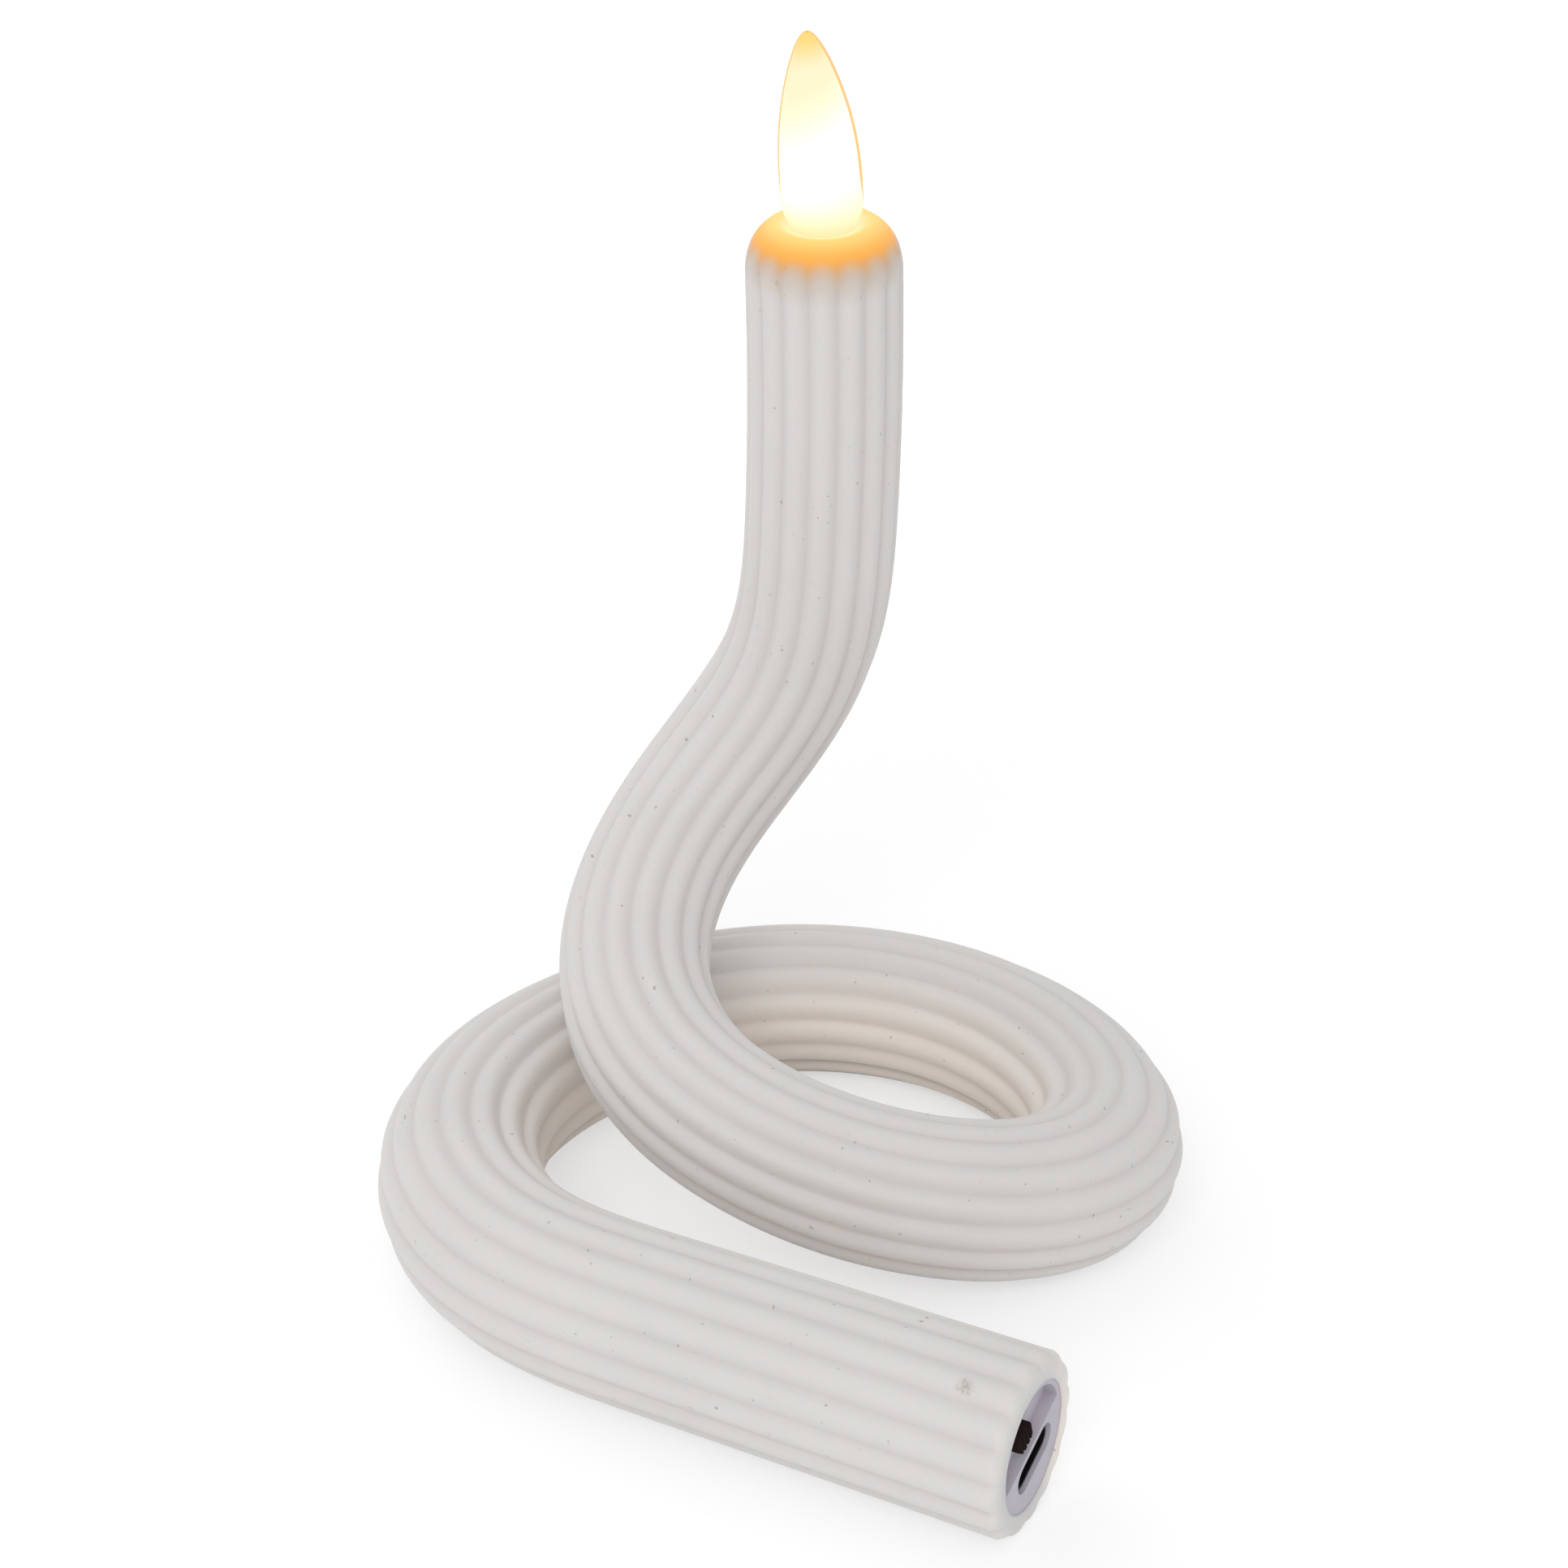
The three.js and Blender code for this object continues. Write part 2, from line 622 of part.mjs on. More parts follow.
// The knob stands at the lit end of its travel
function switchKnob() {
  const top = -PLUG_SINK + KNOB_PROUD;
  const bottom = -PLUG_SINK - RECESS_DEPTH + FIT;
  const pitch = KNOB_LENGTH / KNOB_RIDGES;
  const outline = [[-KNOB_LENGTH / 2, bottom], [KNOB_LENGTH / 2, bottom]];
  for (let ridge = KNOB_RIDGES - 1; ridge >= 0; ridge -= 1) {
    const start = -KNOB_LENGTH / 2 + ridge * pitch;
    outline.push([start + pitch, top - 0.35], [start + 0.75 * pitch, top], [start + 0.25 * pitch, top]);
  }
  outline.push([-KNOB_LENGTH / 2, top - 0.35]);
  const ridged = carry(outline, KNOB_WIDTH);
  const bevel = 0.7;
  const halfLength = KNOB_LENGTH / 2;
  const halfWidth = KNOB_WIDTH / 2;
  const plan = raise(polygon([
    [-halfLength + bevel, -halfWidth],
    [halfLength - bevel, -halfWidth],
    [halfLength, -halfWidth + bevel],
    [halfLength, halfWidth - bevel],
    [halfLength - bevel, halfWidth],
    [-halfLength + bevel, halfWidth],
    [-halfLength, halfWidth - bevel],
    [-halfLength, -halfWidth + bevel],
  ]), bottom - 1, top + 1);
  const stem = block(KNOB_STEM_LENGTH, KNOB_STEM_WIDTH, -PLATE_BACK - FIT - KNOB_STEM_REACH, bottom + 0.5);
  return join(common(ridged, plan), stem).translate(-SWITCH_TRAVEL / 2, KNOB_OFFSET, 0);
}

function boardPart({ width, length, height, across, behind, above }) {
  const raised = above ? BOARD_TOP + FIT + height / 2 : BOARD_TOP - BOARD_THICKNESS - FIT - height / 2;
  const front = -BOARD_START - behind;
  return block(width, height, front - length, front).translate(across, raised, 0);
}

// A folded strip of nickel, its outline given as depth and height
function foldedStrip(corners, width) {
  return raise(polygon(corners), -width / 2, width / 2).rotateY(Math.PI / 2);
}

function positiveTab() {
  const plate = CELL_START - FIT;
  const t = STRIP_THICKNESS;
  const under = BOARD_TOP - BOARD_THICKNESS - FIT;
  const top = 2;
  return foldedStrip([
    [BOARD_END - 2, under],
    [BOARD_END - 2, under - t],
    [plate - t, under - t],
    [plate - t, -3.6],
    [plate, -3.6],
    [plate, top],
    [plate - t, top],
    [plate - t, under],
  ], STRIP_WIDTH);
}

function negativeTab() {
  const back = CELL_END + FIT;
  const t = STRIP_THICKNESS;
  const over = CELL_DIAMETER / 2 - CELL_LOWERED + FIT;
  const front = BOARD_END - 1;
  return foldedStrip([
    [front, BOARD_TOP + FIT],
    [front + t, BOARD_TOP + FIT],
    [front + t, over],
    [back, over],
    [back, -4],
    [back + t, -4],
    [back + t, over + t],
    [front, over + t],
  ], STRIP_NARROW);
}

// Leads run from the board over the cell, through the neck and beside the core up to the lamp
function leadEnd(guides, end, hand, steps) {
  const points = guides.map(([forward, x, y]) => pointBeside(end, hand * x, y, forward));
  const spine = new THREE.CatmullRomCurve3(points, false, 'centripetal');
  const rings = [];
  for (let i = 0; i <= steps; i += 1) {
    const ahead = spine.getTangent(i / steps);
    const side = end.side.clone().projectOnPlane(ahead).normalize();
    const rise = ahead.clone().cross(side);
    const place = { point: spine.getPoint(i / steps), side, rise, ahead };
    rings.push(roundRing(place, LEAD_DIAMETER / 2, LEAD_SIDES));
  }
  return rings;
}

function lead(hand) {
  const over = CELL_DIAMETER / 2 - CELL_LOWERED + FIT + LEAD_DIAMETER / 2 - 0.2;
  const near = LEAD_SPREAD_AT_CELL;
  const foot = leadEnd([
    [BOARD_END - 1.1, 3, BOARD_TOP + FIT + LEAD_DIAMETER / 2],
    [BOARD_END, 2.9, BOARD_TOP + FIT + LEAD_DIAMETER / 2 + 0.25],
    [BOARD_END + 1, 2.4, over * 0.6],
    [BOARD_END + 2.3, 1.9, over - 0.3],
    [CELL_START + 1.5, near, over],
    [CELL_START + CELL_LENGTH / 2, near, over],
    [CELL_END - 0.5, near, over],
    [CELL_END + FIT + 0.7, near * 0.97, over - 0.4],
    [CELL_END + LEAD_ROOM * 0.5, near * 0.85, over * 0.68],
    [CELL_END + LEAD_ROOM * 0.76, near * 0.74, over * 0.4],
    [BULKHEAD_START, LEAD_SPREAD, LEAD_OFFSET + 0.03],
    [BULKHEAD_START + 1.2, LEAD_SPREAD, LEAD_OFFSET],
  ], FOOT_PLACE, hand, 24);
  const middle = stationsBetween(NECK_START + 1, RIBBED_LENGTH + HOLDER_BOTTOM - 2)
    .map((place) => roundRing(place, LEAD_DIAMETER / 2, LEAD_SIDES, hand * LEAD_SPREAD, LEAD_OFFSET));
  const x = LEG_SPACING / 2;
  const top = leadEnd([
    [HOLDER_BOTTOM + 1, LEAD_SPREAD, LEAD_OFFSET],
    [HOLDER_BOTTOM + HOLDER_FLOOR + 0.8, LEAD_SPREAD, LEAD_OFFSET],
    [HOLDER_BOTTOM + HOLDER_FLOOR + 2.3, LEAD_SPREAD + 0.05, LEAD_OFFSET - 0.35],
    [LEAD_TOP - 2.4, x - 0.02, 0.5],
    [LEAD_TOP - 1.6, x, 0.05],
    [LEAD_TOP, x, 0],
  ], TOP_PLACE, hand, 8);
  return loft([...foot, ...middle, ...top]);
}

// The core's ends are hammered into paddles, wider than the holes that they pass
function coreWire() {
  const radius = CORE_DIAMETER / 2;
  const start = BULKHEAD_START - FIT - PADDLE_THICKNESS;
  const end = HOLDER_BOTTOM + HOLDER_FLOOR + FIT;
  const rings = stationsBetween(start + 0.4, RIBBED_LENGTH + HOLDER_BOTTOM - 2)
    .map((place) => roundRing(place, radius, CORE_SIDES, 0, CORE_OFFSET));
  rings.push(roundRing(TOP_PLACE, radius, CORE_SIDES, 0, CORE_OFFSET, HOLDER_BOTTOM + 1));
  rings.push(roundRing(TOP_PLACE, radius, CORE_SIDES, 0, CORE_OFFSET, end + PADDLE_THICKNESS - 0.4));
  const footPaddle = block(PADDLE_WIDTH, PADDLE_HEIGHT, -start - PADDLE_THICKNESS, -start);
  const topPaddle = block(PADDLE_WIDTH, PADDLE_HEIGHT, end, end + PADDLE_THICKNESS);
  return join(
    loft(rings),
    footPaddle.translate(0, CORE_OFFSET, 0).applyMatrix4(FOOT_FRAME),
    topPaddle.translate(0, CORE_OFFSET, 0).applyMatrix4(TOP_FRAME),
  );
}

// Top pieces, in the top frame
const LAMP_SEAT = HOLDER_TOP - LAMP_SEAT_DEPTH;
const LEG_TOP = LAMP_SEAT - FIT;
const LEG_END = LEG_TOP - LEG_LENGTH;
const LEAD_TOP = LEG_END - FIT;

function lampHolder() {
  const body = disc(HOLDER_DIAMETER, HOLDER_BOTTOM, HOLDER_TOP);
  const seat = disc(LAMP_FLANGE_DIAMETER + 2 * FIT, LAMP_SEAT, HOLDER_TOP + 1);
  const legHole = disc(HOLDER_LEG_HOLE, LAMP_SEAT - HOLDER_SHELF - 1, LAMP_SEAT + 1, 24);
  const floor = HOLDER_BOTTOM + HOLDER_FLOOR;
  const coreHole = disc(NECK_BORE, HOLDER_BOTTOM - 1, floor + 1, 24);
  const chamber = block(HOLDER_CHAMBER, HOLDER_DIAMETER, floor, LAMP_SEAT - HOLDER_SHELF)
    .translate(0, HOLDER_DIAMETER / 2 - HOLDER_CHAMBER / 2, 0);
  return cut(body, seat, legHole, coreHole, chamber);
}

function lamp() {
  const radius = LAMP_DIAMETER / 2;
  const outline = [
    [0, LAMP_SEAT],
    [LAMP_FLANGE_DIAMETER / 2, LAMP_SEAT],
    [LAMP_FLANGE_DIAMETER / 2, LAMP_SEAT + LAMP_FLANGE],
    [radius, LAMP_SEAT + LAMP_FLANGE],
  ];
  const round = LAMP_SEAT + LAMP_HEIGHT - radius;
  for (const angle of [0, 30, 60]) {
    outline.push([radius * Math.cos(angle * DEG), round + radius * Math.sin(angle * DEG)]);
  }
  outline.push([0, LAMP_SEAT + LAMP_HEIGHT]);
  return revolve(outline, 28).translate(0, 0, FIT);
}

function lampLeg(hand) {
  return block(LEG_SIZE, LEG_SIZE, LEG_END, LEG_TOP).translate(hand * LEG_SPACING / 2, 0, 0);
}

function shrink(hand) {
  const inner = LEAD_DIAMETER / 2 + SHRINK_ROOM;
  const middle = (LEG_END + LEAD_TOP) / 2;
  const ends = [middle - SHRINK_LENGTH / 2, middle + SHRINK_LENGTH / 2];
  return revolve([
    [inner, ends[0]],
    [inner + SHRINK_WALL, ends[0]],
    [inner + SHRINK_WALL, ends[1]],
    [inner, ends[1]],
    [inner, ends[0]],
  ], 12).translate(hand * LEG_SPACING / 2, 0, 0);
}

// The flame stands upright on the dome and its tip leans to the left of someone facing the foot
function flameRadius(share) {
  const widest = FLAME_WIDTH / 2;
  if (share < FLAME_WIDEST) {
    const below = (FLAME_WIDEST - share) / FLAME_WIDEST;
    return widest * (1 - FLAME_FOOT_TAPER * below ** FLAME_FOOT_POWER);
  }
  const climbed = (share - FLAME_WIDEST) / (1 - FLAME_WIDEST);
  return widest * Math.sqrt(1 - climbed ** 2) * (1 - 0.2 * climbed ** 2);
}

function flameSkin(shares, inset, foot) {
  const up = TOP_PLACE.ahead;
  const left = new THREE.Vector3(-1, 0, 0).projectOnPlane(up).normalize();
  const frame = { point: TOP_PLACE.point, side: left, rise: up.clone().cross(left), ahead: up };
  const rings = foot.map(([radius, height]) => roundRing(frame, radius, FLAME_SIDES, 0, 0, height));
  for (const share of shares) {
    const lean = FLAME_LEAN * (0.15 + 0.85 * share) - 0.15 * FLAME_LEAN * Math.max(0, 1 - share * 8);
    const radius = flameRadius(share) - inset;
    rings.push(roundRing(frame, radius, FLAME_SIDES, lean, 0, FLAME_BASE + share * FLAME_HEIGHT));
  }
  return loft(rings);
}

function flameShell() {
  const neck = FLAME_NECK_DIAMETER / 2;
  const rim = HOLDER_DIAMETER / 2;
  const flange = [HOLDER_TOP + FIT, HOLDER_TOP + FIT + FLAME_FLANGE];
  const outer = flameSkin(
    [0.02, 0.06, 0.15, 0.28, 0.4, 0.5, 0.62, 0.74, 0.84, 0.92, 0.97, 0.995],
    0,
    [[rim, flange[0]], [rim, flange[1]], [neck, flange[1]], [neck, FLAME_BASE]],
  );
  const inner = flameSkin(
    [0.15, 0.3, 0.5, 0.7, 0.84, 0.93, 0.955],
    FLAME_WALL,
    [[neck - FLAME_WALL, flange[0] - 1], [neck - FLAME_WALL, FLAME_BASE]],
  );
  return cut(outer, inner);
}

// Finishes
const FINISHES = {
  silicone: { color: 0xd9d3cf, roughness: 0.6 },
  glowing: { color: 0xffc978, roughness: 0.5 },
  whitePlastic: { color: 0xdfdde6, roughness: 0.5 },
  blackPlastic: { color: 0x17171a, roughness: 0.5 },
  palePlastic: { color: 0xe8e6df, roughness: 0.5 },
  steel: { color: 0xb9bcc2, roughness: 0.3, metalness: 1 },
  nickel: { color: 0xc9c6bb, roughness: 0.35, metalness: 1 },
  aluminium: { color: 0xb4b6b9, roughness: 0.45, metalness: 1 },
  board: { color: 0x1f6b45, roughness: 0.5 },
  chip: { color: 0x1c1c1f, roughness: 0.6 },
  ceramic: { color: 0xb39b78, roughness: 0.6 },
  cellWrap: { color: 0x3f7fc4, roughness: 0.4 },
  redWire: { color: 0xb5221d, roughness: 0.5 },
  blackWire: { color: 0x141416, roughness: 0.5 },
  clearLamp: { color: 0xfff2d0, roughness: 0.2 },
};

const group = new THREE.Group();

function add(name, geometry, finish) {
  const mesh = new THREE.Mesh(geometryOf(solid(geometry)), new THREE.MeshStandardMaterial(FINISHES[finish]));
  mesh.name = name;
  group.add(mesh);
}

function addAtFoot(name, geometry, finish) {
  add(name, geometry.applyMatrix4(FOOT_FRAME), finish);
}

function addAtTop(name, geometry, finish) {
  add(name, geometry.applyMatrix4(TOP_FRAME), finish);
}

const sleeve = sleevePieces();
add('sleeve_lower', sleeve.lower, 'silicone');
add('sleeve_upper', sleeve.upper, 'silicone');

addAtFoot('end_plug', endPlug(), 'whitePlastic');
addAtFoot('battery_tube', batteryTube(), 'palePlastic');
addAtFoot('switch_knob', switchKnob(), 'blackPlastic');
addAtFoot('switch_body', switchBody(), 'steel');
addAtFoot('socket_shell', socketShell(), 'steel');
addAtFoot('socket_tongue', socketTongue(), 'blackPlastic');
addAtFoot('main_board', mainBoard(), 'board');
for (const [name, part] of Object.entries(BOARD_PARTS)) {
  addAtFoot(name, boardPart(part), part.finish);
}
addAtFoot('battery_cell', cell(), 'cellWrap');
addAtFoot('positive_tab', positiveTab(), 'nickel');
addAtFoot('negative_tab', negativeTab(), 'nickel');

add('core_wire', coreWire(), 'aluminium');
add('lead_red', lead(1), 'redWire');
add('lead_black', lead(-1), 'blackWire');

addAtTop('lamp_holder', lampHolder(), 'palePlastic');
addAtTop('lamp', lamp(), 'clearLamp');
addAtTop('lamp_leg_red', lampLeg(1), 'steel');
addAtTop('lamp_leg_black', lampLeg(-1), 'steel');
addAtTop('shrink_red', shrink(1), 'redWire');
addAtTop('shrink_black', shrink(-1), 'blackWire');
add('flame_shell', flameShell(), 'glowing');

// The middle of the footprint stands at the origin
const extent = new THREE.Box3().setFromObject(group);
group.position.set(-(extent.min.x + extent.max.x) / 2, -(extent.min.y + extent.max.y) / 2, 0);
group.updateMatrixWorld(true);

export default group;
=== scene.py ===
"""The visual model of a bendable LED candle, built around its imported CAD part.

The sizes of the candle are millimetres, as its maker would write them, and every mesh is made in
metres in the part's own frame: +Z up, with the table at zero.
"""
import logging
import math
from abc import ABC, abstractmethod
from dataclasses import dataclass
from enum import Enum

import bpy
import numpy as np
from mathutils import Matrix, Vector


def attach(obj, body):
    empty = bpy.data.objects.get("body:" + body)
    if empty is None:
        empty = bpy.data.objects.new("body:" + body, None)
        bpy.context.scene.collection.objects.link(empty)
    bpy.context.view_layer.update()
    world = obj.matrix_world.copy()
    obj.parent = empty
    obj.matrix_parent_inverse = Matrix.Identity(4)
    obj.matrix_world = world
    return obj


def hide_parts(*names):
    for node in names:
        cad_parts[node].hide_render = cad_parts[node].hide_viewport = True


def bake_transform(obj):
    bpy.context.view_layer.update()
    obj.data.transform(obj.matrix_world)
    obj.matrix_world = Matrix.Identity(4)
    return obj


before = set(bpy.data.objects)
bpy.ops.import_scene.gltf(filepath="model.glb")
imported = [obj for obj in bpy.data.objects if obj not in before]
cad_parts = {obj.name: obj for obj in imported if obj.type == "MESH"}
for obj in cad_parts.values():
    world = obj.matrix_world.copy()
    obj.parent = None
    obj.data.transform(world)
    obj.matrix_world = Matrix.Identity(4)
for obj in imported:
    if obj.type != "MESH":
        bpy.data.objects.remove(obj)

LOG = logging.getLogger("led_candle")
MM = 0.001
PLACE_MARK = "rest_place"
VALLEY_SHADE_MARK = "valley_shade"
GLOW_MARK = "glow"
WARMTH_MARK = "warmth"
GLOW_FRINGE_MARK = "dome_glow_fringe"
INNER_LIGHT_MARK = "inner_side_painted_light"

SRGB_KNEE = 0.04045
SRGB_SLOPE = 12.92
SRGB_OFFSET = 0.055
SRGB_POWER = 2.4

Fed = bpy.types.NodeSocket | float | tuple[float, ...]
Colour = tuple[float, float, float, float]


class Body(Enum):
    """The bodies that new pieces move with."""

    CANDLE = "candle"
    STEM = "stem"


class Slot(Enum):
    """The record's material slots, named for new pieces but not given to them."""

    SILICONE = "silicone"
    FLAME = "flame"
    CORE_METAL = "core_metal"
    RED_INSULATION = "red_insulation"
    BLACK_INSULATION = "black_insulation"


def linear(red: int, green: int, blue: int) -> Colour:
    """Turns a colour as a screen shows it into the linear values that shaders take.

    Args:
        red: Red from 0 to 255.
        green: Green from 0 to 255.
        blue: Blue from 0 to 255.

    Returns:
        The linear colour with full alpha.
    """
    shares = [channel / 255 for channel in (red, green, blue)]
    values = [
        share / SRGB_SLOPE if share <= SRGB_KNEE
        else ((share + SRGB_OFFSET) / (1 + SRGB_OFFSET)) ** SRGB_POWER
        for share in shares
    ]
    return (*values, 1.0)


def smoothstep(low: float, high: float, value: np.ndarray) -> np.ndarray:
    """Rises smoothly from 0 at low to 1 at high.

    Args:
        low: Where the rise starts.
        high: Where it ends, which may lie below low for a fall.
        value: The values to ease.

    Returns:
        The eased values, from 0 to 1.
    """
    share = np.clip((value - low) / (high - low), 0, 1)
    return share * share * (3 - 2 * share)


# The middle line of the candle


@dataclass(frozen=True)
class Stretch:
    """A stretch of the middle line in millimetres, with its turn to the left and its climb in degrees."""

    length: float
    turn: float
    climb: float


@dataclass(frozen=True)
class Place:
    """A place on the middle line, in millimetres, with the axes of the section there."""

    point: np.ndarray
    side: np.ndarray
    rise: np.ndarray
    ahead: np.ndarray

    def spot(self, x: float, y: float, forward: float = 0.0) -> np.ndarray:
        """Gives the point beside this place at x along side, y along rise and forward along ahead."""
        return self.point + self.side * x + self.rise * y + self.ahead * forward


@dataclass(frozen=True)
class MiddleLine:
    """The line that the candle was bent along by hand, from the foot to the shoulder of the dome."""

    stretches: tuple[Stretch, ...] = (
        Stretch(62, 0, 0),
        Stretch(57, -91, 0),
        Stretch(38.5, -42, 0),
        Stretch(73, -99.5, 0),
        Stretch(26, -91.5, 4.5),
        Stretch(44, -46, 16.2),
        Stretch(49.5, -95, 41),
        Stretch(48, -117.5, 82.5),
        Stretch(41.5, -31.5, 82.5),
    )
    foot_heading: float = 152.4
    foot_x: float = 29.99591
    foot_y: float = -53.01775
    foot_radius: float = 11.5
    top_radius: float = 10.3
    rest_flat: float = 0.5
    easing: float = 18.0
    easing_samples: int = 9
    switch_tilt: float = 19.5
    step: float = 0.5
    end_slack: float = 0.001
    hinge_below_top: float = 33.5
    bend_half: float = 18.0

    @property
    def length(self) -> float:
        """The length of the ribbed part."""
        return sum(stretch.length for stretch in self.stretches)

    def crest_radius(self, along: float) -> float:
        """Gives the radius over the ribs at a distance from the foot."""
        return float(np.interp(along, (0, self.length), (self.foot_radius, self.top_radius)))

    def walk(self) -> list[Place]:
        """Walks the line from foot to top in equal steps, with a frame that doesn't twist.

        Returns:
            The places, one for each step.
        """
        along = np.arange(0, self.length + self.step / 2, self.step)
        marks = np.cumsum([0] + [stretch.length for stretch in self.stretches])
        turns = self.foot_heading + np.cumsum([0] + [stretch.turn for stretch in self.stretches])
        climbs = np.array([0] + [stretch.climb for stretch in self.stretches])
        offsets = np.linspace(-0.5, 0.5, self.easing_samples) * self.easing
        heading = np.radians(np.mean([np.interp(along + d, marks, turns) for d in offsets], axis=0))
        climb = np.radians(np.mean([np.interp(along + d, marks, climbs) for d in offsets], axis=0))
        ahead = np.stack([
            np.cos(climb) * np.cos(heading),
            np.cos(climb) * np.sin(heading),
            np.sin(climb),
        ], axis=1)
        tilt = math.radians(self.switch_tilt)
        rise = np.array([
            -ahead[0, 1] * math.sin(tilt),
            ahead[0, 0] * math.sin(tilt),
            math.cos(tilt),
        ])
        point = np.array([self.foot_x, self.foot_y, 0.0])
        places = []
        for index, direction in enumerate(ahead):
            if index:
                point = point + (ahead[index - 1] + direction) * self.step / 2
            side = np.cross(rise, direction)
            side = side / np.linalg.norm(side)
            rise = np.cross(direction, side)
            lift = self.crest_radius(along[index]) - self.rest_flat
            places.append(Place(point + np.array([0, 0, lift]), side, rise, direction))
        return places


class Candle:
    """The places of the middle line, looked up by their distance from the foot."""

    def __init__(self, line: MiddleLine) -> None:
        """Lays the line out.

        Args:
            line: The sizes of the middle line.
        """
        self.line = line
        self.places = line.walk()

    def at(self, along: float) -> Place:
        """Gives the place at a distance from the foot, between the nearest two steps.

        Args:
            along: Millimetres from the foot's rim.

        Returns:
            The place there.
        """
        last = len(self.places) - 1 - self.line.end_slack
        steps = min(max(along / self.line.step, 0), last)
        low, share = self.places[int(steps)], steps - int(steps)
        high = self.places[int(steps) + 1]
        mixed = [
            (1 - share) * getattr(low, name) + share * getattr(high, name)
            for name in ("point", "side", "rise", "ahead")
        ]
        return Place(*mixed)

    @property
    def foot(self) -> Place:
        """The place of the foot's rim."""
        return self.places[0]

    @property
    def top(self) -> Place:
        """The place of the dome's shoulder."""
        return self.places[-1]


# Meshes


def place_object(name: str, data: bpy.types.ID) -> bpy.types.Object:
    """Adds an object to the scene.

    Args:
        name: Its name.
        data: Its mesh, camera or lamp.

    Returns:
        The object.
    """
    placed = bpy.data.objects.new(name, data)
    bpy.context.scene.collection.objects.link(placed)
    return placed


def ring_points(place: Place, radius: np.ndarray | float, count: int, forward: float = 0.0,
                x: float = 0.0, start: float = 0.0) -> np.ndarray:
    """Lays a closed ring of points round a place.

    Args:
        place: The section that the ring lies in.
        radius: One radius, or one for each point, in millimetres.
        count: How many points it has.
        forward: How far it is moved ahead.
        x: Its middle along side.
        start: The angle of the first point, in radians.

    Returns:
        The points as an array of count by 3.
    """
    angle = np.arange(count) / count * 2 * math.pi + start
    across = x + radius * np.cos(angle)
    up = radius * np.sin(angle)
    return place.point + np.outer(across, place.side) + np.outer(up, place.rise) + place.ahead * forward


def loft(name: str, rings: list[np.ndarray], looped: bool = False) -> bpy.types.Object:
    """Stretches a skin of quads over rings of equal point count.

    Args:
        name: The new object's name.
        rings: The rings in order, in millimetres.
        looped: Whether the last ring joins the first, as the skin of a hollow tube does.

    Returns:
        The object, smooth and in metres. An open skin gets a flat end on each side.
    """
    count = len(rings[0])
    points = np.concatenate(rings) * MM
    spans = len(rings) if looped else len(rings) - 1
    here = np.arange(count)
    there = (here + 1) % count
    faces = []
    for span in range(spans):
        a, b = span * count, ((span + 1) % len(rings)) * count
        faces.extend(np.stack([a + here, a + there, b + there, b + here], axis=1).tolist())
    if not looped:
        faces.append(list(range(count - 1, -1, -1)))
        faces.append(list(range((len(rings) - 1) * count, len(rings) * count)))
    mesh = bpy.data.meshes.new(name)
    mesh.from_pydata(points.tolist(), [], faces)
    mesh.shade_smooth()
    mesh.update()
    return place_object(name, mesh)


def mark(piece: bpy.types.Object, name: str, values: np.ndarray) -> None:
    """Writes one value for each point of a mesh, for its material to read.

    Args:
        piece: The object with the mesh.
        name: The name of the values.
        values: One number, or one vector, for each point.
    """
    kind, key = ("FLOAT", "value") if values.ndim == 1 else ("FLOAT_VECTOR", "vector")
    attribute = piece.data.attributes.new(name, kind, "POINT")
    attribute.data.foreach_set(key, values.astype(np.float32).ravel())


def mark_places(piece: bpy.types.Object) -> None:
    """Writes where each point is at rest, so that a pattern stays on the skin when it bends."""
    mark(piece, PLACE_MARK, np.array([vertex.co for vertex in piece.data.vertices]))


# Shader node groups


